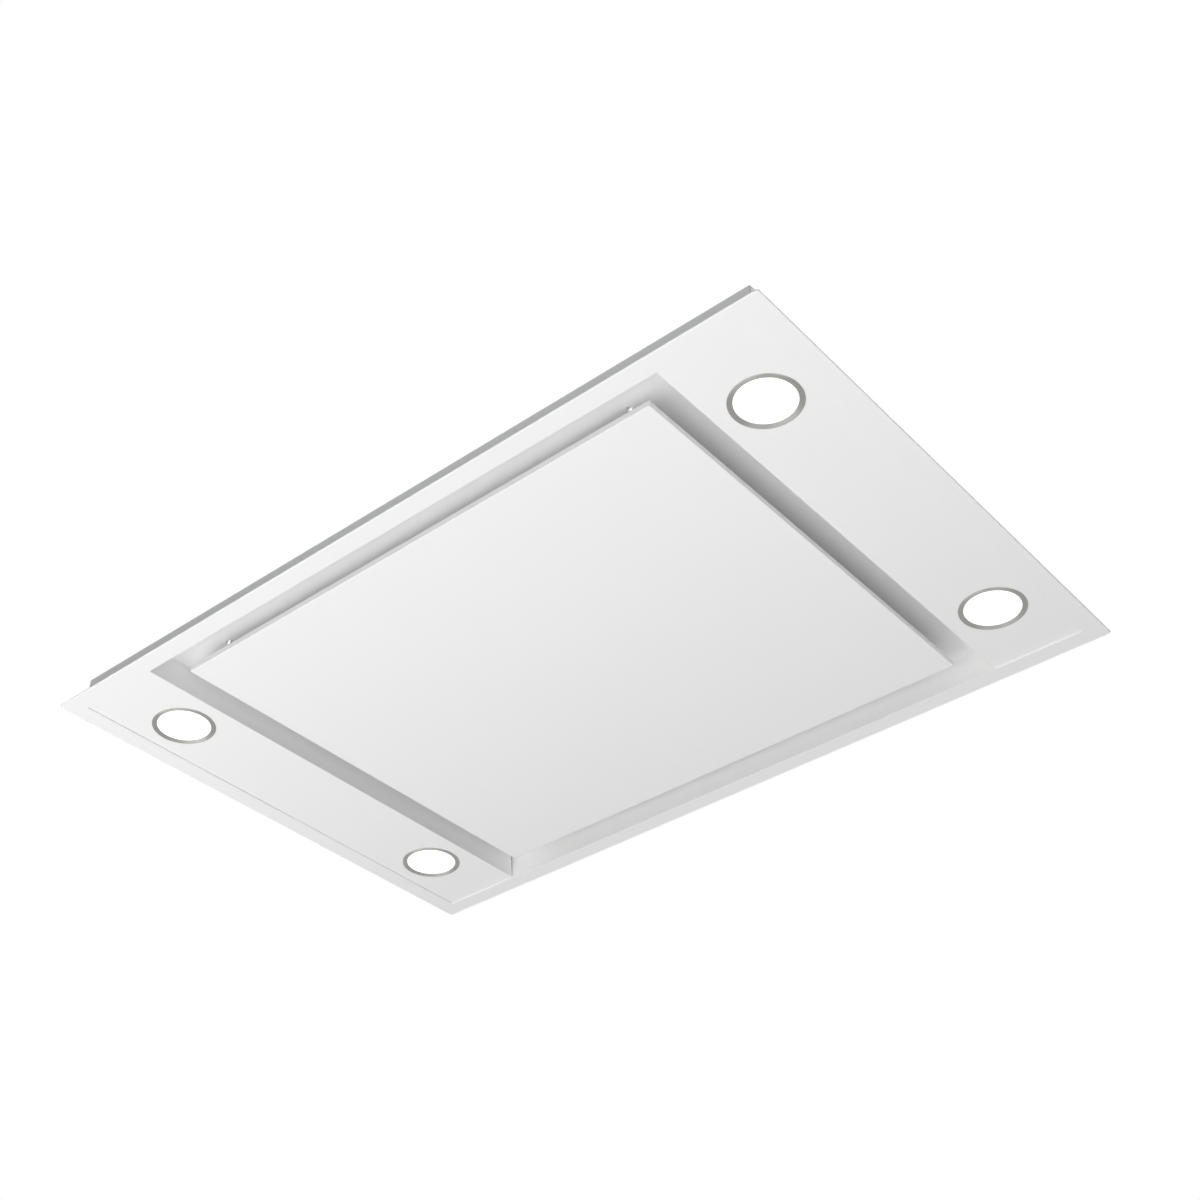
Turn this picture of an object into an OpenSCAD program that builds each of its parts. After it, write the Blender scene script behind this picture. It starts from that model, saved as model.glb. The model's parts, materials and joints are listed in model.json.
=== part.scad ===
// Recessed ceiling range hood, 90 x 60 cm, with perimeter suction.
// X runs along the long side, Y from the near edge to the far edge, Z up.
// The origin is the centre of the border's lower face. Lengths are in millimetres.

/* [Border] */
// Width of the border along the long side
plate_w = 900; // [880:10:1200]
// Depth of the border
plate_d = 600; // [590:10:700]
// Distance from the border's outer edge to the casing wall
casing_inset = 19; // [15:1:24]
// Thickness of the white painted sheet
sheet_t = 1; // [0.8:0.1:1.2]
// Width of the hem folded back at the border's outer edge
hem_w = 8; // [5:1:12]
// Radius of the border's corners
corner_r = 3; // [2:0.5:4]

/* [Casing] */
// Height of the casing's top above the border's lower face
casing_h = 35; // [34:1:60]
// Thickness of the galvanised sheet
casing_t = 0.8; // [0.6:0.1:1.2]

/* [Suction panel] */
// Height of the panel's folded edge
panel_edge_h = 7; // [6:0.5:8]
// Width of the suction slot at the panel's left and right
slot_w = 30; // [25:1:35]
// Width of the suction slot at the panel's near and far edges
slot_d = 29.2; // [27.2:1:35.2]
// Step from the border's lower face up to the lamp shelves and the panel
step_h = 3; // [2.5:0.5:4]
// Distance of the panel's rails from its left and right edges
rail_inset = 35; // [30:1:60]

/* [Panel hinges and catches] */
// Distance of the hinge axis from the panel's far edge
hinge_inset = 7; // [6:0.5:8]
// Height of the hinge axis above the panel's folded edge
hinge_rise = 8; // [7.5:0.5:9]
// Diameter of the hinge pins
pin_d = 6; // [5:0.5:6.5]
// Distance of the catch posts from the panel's near edge
catch_inset = 18; // [17:1:30]
// Diameter of the catch posts
post_d = 4; // [3:0.5:5]

/* [Lamps] */
// Width of the shelf that carries two lamps
shelf_w = 99.2; // [97.2:1:120.2]
// Outer diameter of a lamp's ring
ring_d = 67.5; // [66:0.5:72]
// Visible diameter of a lamp's lens
lens_d = 57; // [54:0.5:58]
// Height by which a ring stands proud of its shelf
ring_h = 2.4; // [1.5:0.1:2.5]
// Distance of a lamp's centre from the near or far end of its shelf
lamp_end = 89; // [70:1:120]
// Height of a lamp's heat sink
sink_h = 18; // [14:1:20]

/* [Grease filters] */
// Thickness of a grease filter
filter_h = 9; // [8:0.5:11]
// Width of the deck's bar between the two filters
deck_bar = 18; // [14:1:30]
// Width of the deck's bar outside each filter
deck_side = 44; // [34:1:60]
// Width of the deck's lip at a filter's near and far ends
deck_lip = 12; // [10:1:14]
// Travel of a filter's latch
latch_travel = 6.5; // [6:0.5:7.5]

/* [Blower] */
// Diameter of the impeller
impeller_d = 168; // [160:1:180]
// Height of the scroll casing
scroll_h = 100; // [90:1:104]
// Gap between the impeller and the scroll casing's top
wheel_gap = 13.5; // [8.5:1:19.5]
// Growth of the scroll's radius in a quarter turn
scroll_step = 26; // [24:1:27]
// Distance between the scroll and the housing's left wall
scroll_side_air = 43.5; // [30.5:1:60.5]
// Diameter of the motor
motor_d = 92; // [80:1:96]
// Diameter of the motor's shaft
shaft_d = 8; // [6:0.5:10]
// Number of the impeller's blades
blade_count = 32; // [24:1:40]

/* [Air outlet] */
// Outer diameter of the duct collar
outlet_d = 150; // [146:1:155]
// Length of the duct collar beyond its base
collar_len = 62; // [50:1:80]
// Wall of the duct collar
collar_t = 2; // [1.5:0.1:3]
// Diameter of the flaps' pin
flap_pin_d = 4; // [3:0.5:5]

/* [Control box and driver] */
// Width of the control box
control_w = 72; // [66:1:74]
// Length of the control box
control_l = 200; // [180:5:260]
// Height of the control box
control_h = 39; // [36:1:60]
// Width of the lamp driver
driver_w = 50; // [40:1:60]
// Length of the lamp driver
driver_l = 150; // [120:5:180]
// Height of the lamp driver
driver_h = 26; // [20:1:34]
// Bore of the cable gland
gland_bore_d = 9; // [7:0.5:10]

/* [Hangers] */
// Distance of the hanger holes from the casing's left and right walls
hanger_inset_x = 36; // [33:1:46]
// Distance of the hanger holes from the casing's near and far walls
hanger_inset_y = 51; // [41:1:71]
// Diameter of the hanger holes
hanger_hole_d = 9; // [7:0.5:11]
// Height of the hanger ears above the casing
hanger_h = 28; // [20:1:40]

/* [Hidden] */
$fn = 64;
SIDES = ["left", "right"];
LAMPS = ["1", "2", "3", "4"];

// Clearances and cuts
cut = 1;
seat_gap = 0.2;
run_gap = 0.05;
move_gap = 0.5;

// Levels and outlines of the casing, the recess and the panel
casing_x = plate_w / 2 - casing_inset;
casing_y = plate_d / 2 - casing_inset;
casing_corner_r = 1.5;
liner_x = casing_x - casing_t;
liner_y = casing_y - casing_t;
inner_x = liner_x - sheet_t;
inner_y = liner_y - sheet_t;
recess_x = inner_x - shelf_w;
panel_w = 2 * (recess_x - slot_w);
panel_d = 2 * (inner_y - slot_d);
deck_top = casing_h - casing_t;
deck_low = deck_top - sheet_t;
panel_top = step_h + panel_edge_h;
panel_floor = step_h + sheet_t;
panel_corner_r = 2;
panel_return_w = 8;
rail_x = panel_w / 2 - rail_inset;
rail_top = panel_top - sheet_t;

// Lamp shelves
shelf_flange_w = 16;
shelf_lip_h = 14;
shelf_end_x = inner_x - seat_gap;

// Lamps
lamp_x = (recess_x + inner_x) / 2;
lamp_y = inner_y - lamp_end;
ring_face = step_h - ring_h;
ring_neck_r = lens_d / 2 + 2 * sheet_t;
ring_lip_t = 0.8;
ring_bevel = 0.9;
ring_neck_h = 5;
ring_top = step_h + sheet_t + ring_neck_h;
lens_t = 2.5;
sink_base_h = 5;
sink_r = ring_neck_r - move_gap;
sink_fin_t = 2;
sink_fin_count = 9;
board_t = 1.6;
clip_w = 8;
clip_t = 0.8;
clip_reach = 13;
clip_foot_w = 2;

// Panel rails, hinges and catches
rail_web_w = 24;
rail_foot_w = 10;
rail_gap = 0.4;
hinge_y = panel_d / 2 - hinge_inset;
hinge_z = panel_top + hinge_rise;
pin_r = pin_d / 2;
ear_w = 12;
ear_wall = 3;
ear_base_w = 22;
ear_base_l = 36;
ear_base_t = 2;
cheek_t = 1.5;
cheek_wall = 3.5;
bracket_base_w = 34;
bracket_base_l = 36;
pin_head_t = 1.5;
pin_head_lap = 1.5;
pin_head_r = pin_r + pin_head_lap;
post_r = post_d / 2;
catch_y = -(panel_d / 2 - catch_inset);
catch_clip_r = 6;
catch_clip_h = 8;
catch_base_t = 1.5;
catch_slit_w = 1.2;
catch_play = 0.5;

// Motor housing and the openings below it
housing_t = 1;
vent_edge = 7;
housing_x = recess_x;
housing_flange_w = shelf_flange_w;
vent_x = housing_x - housing_t - vent_edge;
scroll_t = 1.5;
scroll_air = 5.5;
tip_gap = 6;
scroll_r = impeller_d / 2 + tip_gap;
scroll_reach = scroll_r + 2 * scroll_step;
housing_y = scroll_reach + scroll_t + scroll_air + housing_t;
vent_y = housing_y - housing_t - vent_edge;

// Grease filters
filter_gap = 0.6;
filter_x = (deck_bar / 2 + vent_x - deck_side) / 2;
filter_w = vent_x - deck_side - deck_bar / 2 - 2 * filter_gap;
filter_d = 2 * (vent_y - deck_lip - filter_gap);
filter_rail_w = 12;
filter_latch_rail_w = 26;
filter_t = 0.8;
filter_top = deck_low + filter_h;
tab_l = 7;
tab_w = 22;
tab_t = 1.5;
tab_share = 0.3;
latch_t = 2;
latch_w = 44;
latch_l = 14;
latch_tongue_w = 24;
latch_tongue_l = 6;
latch_z = deck_top + move_gap;
thumb_w = 18;
thumb_l = 5;
thumb_h = 4;

// Air outlet, and the blower that is in line with it
collar_rim = 2;
collar_lift = 1;
outlet_r = outlet_d / 2;
collar_bore_r = outlet_r - collar_t;
outlet_z = casing_h + collar_lift + collar_rim + outlet_r;
collar_base_t = 3;
collar_side_w = 9;
collar_screw_out = 1;
collar_screw_in = 9;
collar_y = housing_y + collar_base_t;
stop_w = 3.5;
stop_l = 3;
flap_inset = 11;
flap_y = collar_y + flap_inset;
flap_t = 1.2;
flap_gap = 1.5;
flap_r = collar_bore_r - flap_gap;
flap_pin_r = flap_pin_d / 2;
knuckle_t = 1.3;
knuckle_r = flap_pin_r + run_gap + knuckle_t;
knuckle_zone_share = 0.75;
knuckle_count = 4;
knuckle_pitch = knuckle_zone_share * 2 * flap_r / knuckle_count;
scroll_z = outlet_z - scroll_h / 2;
scroll_top = scroll_z + scroll_h;
head_room = 7;
housing_top = outlet_z + outlet_r + collar_rim + head_room;

// Scroll: four quarter discs whose centres are the corners of a square
quarter_share = 0.5;
scroll_radii = [for (q = [0:3]) scroll_r + (q + quarter_share) * scroll_step];
scroll_corners = [[-1, 1], [-1, -1], [1, -1], [1, 1]];
scroll_left = scroll_radii[1] + scroll_step / 2 + scroll_t;
outlet_low_x = scroll_radii[0] - scroll_step / 2;
outlet_high_x = scroll_radii[3] + scroll_step / 2;
axis_x = -housing_x + housing_t + scroll_side_air + scroll_left;
axis_y = scroll_step;
outlet_x = axis_x + (outlet_low_x + outlet_high_x) / 2;
hang_post_r = 5;
hang_ring_r = impeller_d / 2;
inlet_gap = 4;
inlet_lap = 8;
inlet_hole_r = impeller_d / 2 + inlet_gap;
inlet_plate_r = inlet_hole_r + inlet_lap;
throat_inset = 18;
throat_r = impeller_d / 2 - throat_inset;
bell_r = 12;
bell_gap = 2;

// Impeller and motor
blade_l = 16;
blade_t = 1.2;
blade_angle = 35;
wheel_t = 2;
wheel_ring_w = 4;
wheel_z = scroll_z - scroll_t + bell_r + bell_gap;
wheel_top = scroll_top - wheel_gap;
impeller_h = wheel_top - wheel_z;
cup_gap = 12;
cup_r = motor_d / 2 + cup_gap;
cup_h = 50;
cup_floor = wheel_top - cup_h;
hub_wall = 5;
hub_r = shaft_d / 2 + hub_wall;
hub_h = 14;
motor_gap = 4;
motor_rise = 12;
motor_low = cup_floor + motor_gap;
motor_high = scroll_top + motor_rise;
motor_hole_gap = 4;
shaft_r = shaft_d / 2;
bush_h = 5;
bush_r = 7;
bush_neck_r = 3;
bush_head_t = 2;
bush_reach = 14;
bush_ring_r = motor_d / 2 + bush_reach;
arm_t = 2;
arm_w = 14;
arm_count = 3;
seam_t = 3;

// Screws
screw_r = 2;
screw_head_r = 3.6;
screw_head_h = 2;
screw_l = 8;
screw_line_x = recess_x + shelf_flange_w / 2;
screw_shares = [-0.8, -0.27, 0.27, 0.8];

// Control box, its contents and the lamp driver, in the middle of the strip beside the housing
strip_x = (housing_x + housing_flange_w + casing_x) / 2;
control_x = -strip_x;
control_t = 1;
lid_lip = 6;
circuit_l = 130;
circuit_w = 56;
circuit_rise = 6;
circuit_t = 1.6;
coil_size = [34, 40, 22];
relay_size = [15, 19, 14];
can_r = 9;
can_h = 22;
terminal_size = [46, 22, 16];
terminal_poles = 5;
gland_r = 8;
gland_hex_r = 12.5;
gland_nut_t = 6;
gland_cap_r = 10.5;
gland_cap_l = 14;
gland_taper_share = 0.75;
gland_rise = 18;
gland_z = casing_h + gland_rise;
gland_inset = 20;
gland_x = control_x - control_w / 2 + gland_inset;
driver_x = strip_x;
driver_ear_l = 10;
driver_ear_w = 26;
driver_ear_t = 2;
driver_cap_l = 16;
driver_cap_lip = 1;

// Hangers
hanger_foot_l = 34;
hanger_w = 30;
hanger_t = 2;

// Leads
lead_r = 2.5;
lead_bend = 12;
lead_sides = 8;
lead_steps = 5;
lead_hole_gap = 0.5;
lead_run = 38.2;
lead_hole_y = lamp_y - sink_r - lead_run;
lead_top_z = casing_h + lead_bend + lead_r;
lead_low_z = ring_top + sink_base_h / 2;
lead_floor_z = casing_h + lead_r + seat_gap;
lead_back_gap = 14;
lead_back_y = -(housing_y + lead_back_gap);
lead_filter_gap = 8;
lead_motor_z = filter_top + lead_filter_gap + lead_r;
lead_driver_x = driver_x + driver_ear_w / 2 + move_gap + lead_r;

// Rectangle with round corners, centred
module rounded(w, d, r) {
    square([w - 2 * r, d], center = true);
    square([w, d - 2 * r], center = true);
    for (x = [-1, 1], y = [-1, 1])
        translate([x * (w / 2 - r), y * (d / 2 - r)]) circle(r);
}

// Rectangle given by its ends along X and Y
module patch(x0, x1, y0, y1) {
    translate([x0, y0]) square([x1 - x0, y1 - y0]);
}

// Box given by its lowest and highest corners
module block(low, high) {
    translate(low) cube(high - low);
}

// A flat outline drawn in Y and Z, given a width along X about the middle
module across(width) {
    translate([-width / 2, 0, 0]) rotate([90, 0, 90]) linear_extrude(width) children();
}

// Draws for the right side, and mirrors it for the left
module on_side(s) {
    mirror([s == 0 ? 1 : 0, 0, 0]) children();
}

// Place of lamp or hanger i: left and right in turn, near before far
function corner_place(i, x, y) = [i % 2 == 0 ? -x : x, i < 2 ? -y : y, 0];

// Upright screw with its head's underside at the origin
module screw() {
    cylinder(r = screw_head_r, h = screw_head_h);
    translate([0, 0, -screw_l]) cylinder(r = screw_r, h = screw_l);
}

// Places of the screws that clamp the housing, casing, deck and shelves together
module at_flange_screws() {
    for (side = [-1, 1], share = screw_shares)
        translate([side * screw_line_x, share * housing_y, 0]) children();
}

// Places of the screws that hold the scroll to the housing's top
module at_scroll_posts() {
    for (a = [45:90:315])
        translate([axis_x, axis_y, 0]) rotate(a) translate([hang_ring_r, 0, 0]) children();
}

// Places of the collar's screws on the housing's far wall, with Z turned along the duct
module at_collar_screws() {
    for (x = [-1, 1], z = [-1, 1])
        translate([outlet_x, housing_y, outlet_z]) rotate([-90, 0, 0])
            translate([x * (outlet_r + collar_screw_out), z * (outlet_r - collar_screw_in), 0]) children();
}

// Unit vector along v
function unit(v) = v / norm(v);

// A route's corners, each replaced by an arc of the given radius
function bent_route(c, r) = concat(
    [c[0]],
    [for (i = [1:len(c) - 2], k = [0:lead_steps])
        let (a = unit(c[i] - c[i - 1]), b = unit(c[i + 1] - c[i]), t = 90 * k / lead_steps)
        c[i] + r * (b - a) + r * (a * sin(t) - b * cos(t))],
    [c[len(c) - 1]]
);

// Tube of radius r swept along a flat route, whose plane has the normal n
module lead(corners, n, r) {
    p = bent_route(corners, lead_bend);
    m = len(p);
    along = [for (i = [0:m - 1]) unit(p[min(i + 1, m - 1)] - p[max(i - 1, 0)])];
    points = [for (i = [0:m - 1], k = [0:lead_sides - 1])
        let (w = 360 * k / lead_sides) p[i] + r * (cos(w) * n + sin(w) * cross(along[i], n))];
    faces = concat(
        [[for (k = [0:lead_sides - 1]) k]],
        [[for (k = [lead_sides - 1:-1:0]) (m - 1) * lead_sides + k]],
        [for (i = [0:m - 2], k = [0:lead_sides - 1])
            let (k2 = (k + 1) % lead_sides, a = i * lead_sides, b = a + lead_sides)
            [a + k, b + k, a + k2]],
        [for (i = [0:m - 2], k = [0:lead_sides - 1])
            let (k2 = (k + 1) % lead_sides, a = i * lead_sides, b = a + lead_sides)
            [b + k, b + k2, a + k2]]
    );
    polyhedron(points, faces);
}

// White border: a flat ring with a folded hem, and an upstand that lines the casing
module border_frame() {
    color("white") {
        linear_extrude(sheet_t) difference() {
            rounded(plate_w, plate_d, corner_r);
            square([2 * inner_x, 2 * inner_y], center = true);
        }
        translate([0, 0, sheet_t]) linear_extrude(sheet_t) difference() {
            rounded(plate_w, plate_d, corner_r);
            square([plate_w - 2 * hem_w, plate_d - 2 * hem_w], center = true);
        }
        translate([0, 0, sheet_t]) linear_extrude(deck_low - sheet_t) difference() {
            square([2 * liner_x, 2 * liner_y], center = true);
            square([2 * inner_x, 2 * inner_y], center = true);
        }
    }
}

// Grey casing: four walls and a top sheet with the air opening and lead holes
module lower_casing() {
    color("gainsboro") difference() {
        translate([0, 0, sheet_t]) linear_extrude(casing_h - sheet_t)
            rounded(2 * casing_x, 2 * casing_y, casing_corner_r);
        block([-liner_x, -liner_y, sheet_t - cut], [liner_x, liner_y, deck_top]);
        block([-vent_x, -vent_y, deck_top - cut], [vent_x, vent_y, casing_h + cut]);
        at_flange_screws() cylinder(r = screw_r + run_gap, h = casing_h + cut);
        lead_holes();
    }
}

// Holes where the lamp leads go down through the casing and the deck
module lead_holes() {
    for (x = [-1, 1], y = [-1, 1])
        translate([x * lamp_x, y * lead_hole_y, deck_low - cut])
            cylinder(r = lead_r + lead_hole_gap, h = casing_h);
}

// White recess ceiling, with the two openings that the filters sit in
module filter_deck() {
    color("white") difference() {
        translate([0, 0, deck_low]) linear_extrude(sheet_t)
            square([2 * (liner_x - seat_gap), 2 * (liner_y - seat_gap)], center = true);
        for (side = [-1, 1])
            translate([side * filter_x, 0, deck_low]) cube(
                [filter_w + 2 * filter_gap, filter_d + 2 * filter_gap, 2 * casing_h], center = true);
        at_flange_screws() cylinder(r = screw_r + run_gap, h = casing_h + cut);
        lead_holes();
    }
}

// White shelf that carries two lamps, with the recess wall folded up from its inner edge
module lamp_shelf(s) {
    color("white") on_side(s) difference() {
        rotate([90, 0, 0]) linear_extrude(2 * (inner_y - seat_gap), center = true) {
            patch(recess_x, shelf_end_x, step_h, step_h + sheet_t);
            patch(recess_x, recess_x + sheet_t, step_h, deck_low);
            patch(recess_x, recess_x + shelf_flange_w, deck_low - sheet_t, deck_low);
            patch(shelf_end_x - sheet_t, shelf_end_x, step_h, step_h + shelf_lip_h);
        }
        for (y = [-1, 1])
            translate([lamp_x, y * lamp_y, 0]) cylinder(r = ring_neck_r + seat_gap, h = ring_top);
        translate([0, 0, deck_low - 2 * sheet_t]) at_flange_screws()
            cylinder(r = screw_r + run_gap, h = casing_h);
    }
}

// Brushed ring of a lamp: a bevelled face with a lip for the lens, and a neck through the shelf
module lamp_ring(i) {
    lip_r = lens_d / 2;
    neck_in_r = ring_neck_r - sheet_t;
    color("silver") translate(corner_place(i, lamp_x, lamp_y)) rotate_extrude() polygon([
        [lip_r, ring_face + ring_bevel / 2],
        [lip_r + ring_bevel / 2, ring_face],
        [ring_d / 2 - ring_bevel, ring_face],
        [ring_d / 2, ring_face + ring_bevel],
        [ring_d / 2, step_h],
        [ring_neck_r, step_h],
        [ring_neck_r, ring_top],
        [neck_in_r, ring_top],
        [neck_in_r, ring_face + ring_lip_t],
        [lip_r, ring_face + ring_lip_t]
    ]);
}

// Opal lens that lies on the ring's lip
module lamp_lens(i) {
    color("ivory") translate(corner_place(i, lamp_x, lamp_y) + [0, 0, ring_face + ring_lip_t])
        cylinder(r = ring_neck_r - sheet_t - seat_gap, h = lens_t);
}

// Heat sink of a lamp: base, light board below it and straight fins above it
module lamp_body(i) {
    fin_pitch = 2 * sink_r / sink_fin_count;
    board_r = ring_neck_r - sheet_t - move_gap;
    color("darkgray") translate(corner_place(i, lamp_x, lamp_y) + [0, 0, ring_top]) {
        cylinder(r = sink_r, h = sink_base_h);
        translate([0, 0, -board_t]) cylinder(r = board_r, h = board_t);
        translate([0, 0, sink_base_h]) intersection() {
            cylinder(r = sink_r, h = sink_h - sink_base_h);
            for (k = [0:sink_fin_count - 1])
                translate([(k - (sink_fin_count - 1) / 2) * fin_pitch, 0, (sink_h - sink_base_h) / 2])
                    cube([sink_fin_t, 2 * sink_r, sink_h - sink_base_h], center = true);
        }
    }
}

// Spring clips, two a lamp, that press on the shelf's upper face
module lamp_clips() {
    low = step_h + sheet_t;
    high = ring_top + sink_h - sheet_t;
    color("silver") for (i = [0:3], side = [0, 1])
        translate(corner_place(i, lamp_x, lamp_y)) rotate(90) mirror([0, side, 0]) across(clip_w) polygon([
            [sink_r, ring_top],
            [sink_r + clip_t, ring_top],
            [sink_r + clip_t, high - 2 * clip_t],
            [sink_r + clip_reach, low],
            [sink_r + clip_reach + clip_foot_w, low],
            [sink_r + 2 * clip_t, high],
            [sink_r, high]
        ]);
}

// White suction panel: a folded pan with its edge turned back inwards
module suction_panel() {
    inside = [panel_w - 2 * sheet_t, panel_d - 2 * sheet_t];
    mouth = [panel_w - 2 * panel_return_w, panel_d - 2 * panel_return_w];
    color("white") difference() {
        translate([0, 0, step_h]) linear_extrude(panel_edge_h) rounded(panel_w, panel_d, panel_corner_r);
        translate([0, 0, panel_floor]) linear_extrude(rail_top - panel_floor) square(inside, center = true);
        translate([0, 0, rail_top - cut]) linear_extrude(sheet_t + 2 * cut) square(mouth, center = true);
    }
}

// Hat-shaped rail that stiffens the panel from its near edge to its far edge
module panel_rail(s) {
    half = rail_web_w / 2;
    color("gainsboro") on_side(s) translate([rail_x, 0, 0]) rotate([90, 0, 0])
        linear_extrude(panel_d - 2 * sheet_t - 2 * rail_gap, center = true) {
            patch(-half, half, rail_top - sheet_t, rail_top);
            for (side = [0, 1]) mirror([side, 0]) {
                patch(half - sheet_t, half, panel_floor, rail_top);
                patch(half - sheet_t, half + rail_foot_w, panel_floor, panel_floor + sheet_t);
            }
        }
}

// Hinge ear on the panel's rail, with the running bore for the pin
module hinge_ear(s) {
    barrel_r = pin_r + ear_wall;
    color("gray") on_side(s) translate([rail_x, hinge_y, 0]) {
        block([-ear_base_w / 2, -ear_base_l - pin_r, rail_top],
            [ear_base_w / 2, -pin_r, rail_top + ear_base_t]);
        difference() {
            across(ear_w) union() {
                translate([0, hinge_z]) circle(barrel_r);
                polygon([
                    [-ear_base_l, rail_top],
                    [-pin_r, rail_top],
                    [0, hinge_z - barrel_r],
                    [0, hinge_z + barrel_r]
                ]);
            }
            across(ear_w + 2 * cut) translate([0, hinge_z]) circle(pin_r + run_gap);
        }
    }
}

// Fixed hinge bracket under the deck, with two cheeks that hold the pin
module hinge_bracket(s) {
    cheek_r = pin_r + cheek_wall;
    inside = ear_w / 2 + move_gap;
    color("gray") on_side(s) translate([rail_x, hinge_y, 0]) {
        block([-bracket_base_w / 2, -bracket_base_l / 2, deck_low - cheek_t],
            [bracket_base_w / 2, bracket_base_l / 2, deck_low]);
        for (side = [-1, 1]) translate([side * (inside + cheek_t / 2), 0, 0]) across(cheek_t) difference() {
            union() {
                translate([0, hinge_z]) circle(cheek_r);
                patch(-cheek_r, cheek_r, hinge_z, deck_low);
            }
            translate([0, hinge_z]) circle(pin_r);
        }
    }
}

// Two headed hinge pins, fixed in their brackets
module hinge_pins() {
    reach = ear_w / 2 + move_gap + cheek_t;
    color("silver") for (s = [0, 1]) on_side(s) translate([rail_x, hinge_y, hinge_z]) rotate([0, 90, 0]) {
        cylinder(r = pin_r, h = 2 * reach, center = true);
        for (side = [0, 1]) mirror([0, 0, side])
            translate([0, 0, reach]) cylinder(r = pin_head_r, h = pin_head_t);
    }
}

// White catch post that hangs from the deck, with a groove above its tip
module catch_post(s) {
    tip = rail_top + catch_base_t + 2 * catch_play;
    color("white") on_side(s) translate([rail_x, catch_y, 0]) rotate_extrude() polygon([
        [0, tip],
        [post_r / 2, tip],
        [post_r, tip + post_r / 2],
        [post_r, tip + post_r],
        [post_r / 2, tip + 1.5 * post_r],
        [post_r / 2, tip + 2 * post_r],
        [post_r, tip + 2.5 * post_r],
        [post_r, deck_low],
        [0, deck_low]
    ]);
}

// Catch clip on the panel's rail, slit so that its jaws spring round the post's tip
module catch_clip(s) {
    color("dimgray") on_side(s) translate([rail_x, catch_y, rail_top]) difference() {
        cylinder(r = catch_clip_r, h = catch_clip_h);
        translate([0, 0, catch_base_t]) cylinder(r = post_r + catch_play, h = catch_clip_h);
        translate([-catch_slit_w / 2, -catch_clip_r - cut, catch_base_t])
            cube([catch_slit_w, 2 * (catch_clip_r + cut), catch_clip_h]);
    }
}

// Frame of a grease filter: a channel round the mesh, tabs at the far edge and a deep latch rail
module filter_frame(s) {
    half_w = filter_w / 2;
    half_d = filter_d / 2;
    thumb_low_y = -half_d + filter_t + seat_gap + (latch_l - thumb_l) / 2 - move_gap;
    thumb_high_y = thumb_low_y + thumb_l + latch_travel + 2 * move_gap;
    tongue_half_w = latch_tongue_w / 2 + move_gap;
    thumb_half_w = thumb_w / 2 + move_gap;
    tab_low = deck_top + seat_gap;
    color("silver") on_side(s) translate([filter_x, 0, 0]) {
        difference() {
            block([-half_w, -half_d, deck_low], [half_w, half_d, filter_top]);
            block([-half_w + filter_t, -half_d + filter_t, deck_low + filter_t],
                [half_w - filter_t, half_d - filter_t, filter_top - filter_t]);
            block([-half_w + filter_rail_w, -half_d + filter_latch_rail_w, deck_low - cut],
                [half_w - filter_rail_w, half_d - filter_rail_w, filter_top + cut]);
            block([-tongue_half_w, -half_d - cut, latch_z - seat_gap],
                [tongue_half_w, -half_d + filter_t + cut, latch_z + latch_t + seat_gap]);
            block([-thumb_half_w, thumb_low_y, deck_low - cut],
                [thumb_half_w, thumb_high_y, deck_low + filter_t + cut]);
        }
        for (side = [-1, 1]) translate([side * tab_share * filter_w, 0, tab_low])
            block([-tab_w / 2, half_d - filter_t, 0], [tab_w / 2, half_d + tab_l, tab_t]);
    }
}

// Mesh pack inside a filter's frame
module filter_mesh(s) {
    half_w = filter_w / 2 - filter_t - seat_gap;
    low_y = -filter_d / 2 + filter_latch_rail_w - move_gap;
    high_y = filter_d / 2 - filter_t - seat_gap;
    color("lightgray") on_side(s) translate([filter_x, 0, 0])
        block([-half_w, low_y, deck_low + filter_t + seat_gap / 2],
            [half_w, high_y, filter_top - filter_t - seat_gap / 2]);
}

// Sliding latch of a filter: a tongue over the deck's lip and a thumb pull below
module filter_latch(s) {
    back_y = -filter_d / 2 + filter_t + seat_gap;
    thumb_y = back_y + (latch_l - thumb_l) / 2;
    color("dimgray") on_side(s) translate([filter_x, 0, 0]) {
        block([-latch_w / 2, back_y, latch_z], [latch_w / 2, back_y + latch_l, latch_z + latch_t]);
        block([-latch_tongue_w / 2, -filter_d / 2 - latch_tongue_l, latch_z],
            [latch_tongue_w / 2, back_y + latch_t, latch_z + latch_t]);
        block([-thumb_w / 2, thumb_y, deck_low - thumb_h],
            [thumb_w / 2, thumb_y + thumb_l, latch_z + latch_t]);
    }
}

// Galvanised motor housing: an open-bottomed box with screw flanges at the left and right
module motor_housing() {
    inside_x = housing_x - housing_t;
    inside_y = housing_y - housing_t;
    color("gainsboro") difference() {
        union() {
            block([-housing_x, -housing_y, casing_h], [housing_x, housing_y, housing_top + housing_t]);
            block([-housing_x - housing_flange_w, -housing_y, casing_h],
                [housing_x + housing_flange_w, housing_y, casing_h + housing_t]);
        }
        block([-inside_x, -inside_y, casing_h - cut], [inside_x, inside_y, housing_top]);
        translate([outlet_x, housing_y, outlet_z]) rotate([90, 0, 0])
            cylinder(r = collar_bore_r, h = 4 * housing_t, center = true);
        at_flange_screws() cylinder(r = screw_r + run_gap, h = casing_h + 2 * cut);
        at_scroll_posts() cylinder(r = screw_r + run_gap, h = 2 * housing_top);
        at_collar_screws() cylinder(r = screw_r + run_gap, h = 4 * housing_t, center = true);
        translate([-housing_x, axis_y, lead_motor_z]) rotate([0, 90, 0])
            cylinder(r = lead_r + lead_hole_gap, h = 4 * housing_t, center = true);
    }
}

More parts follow.
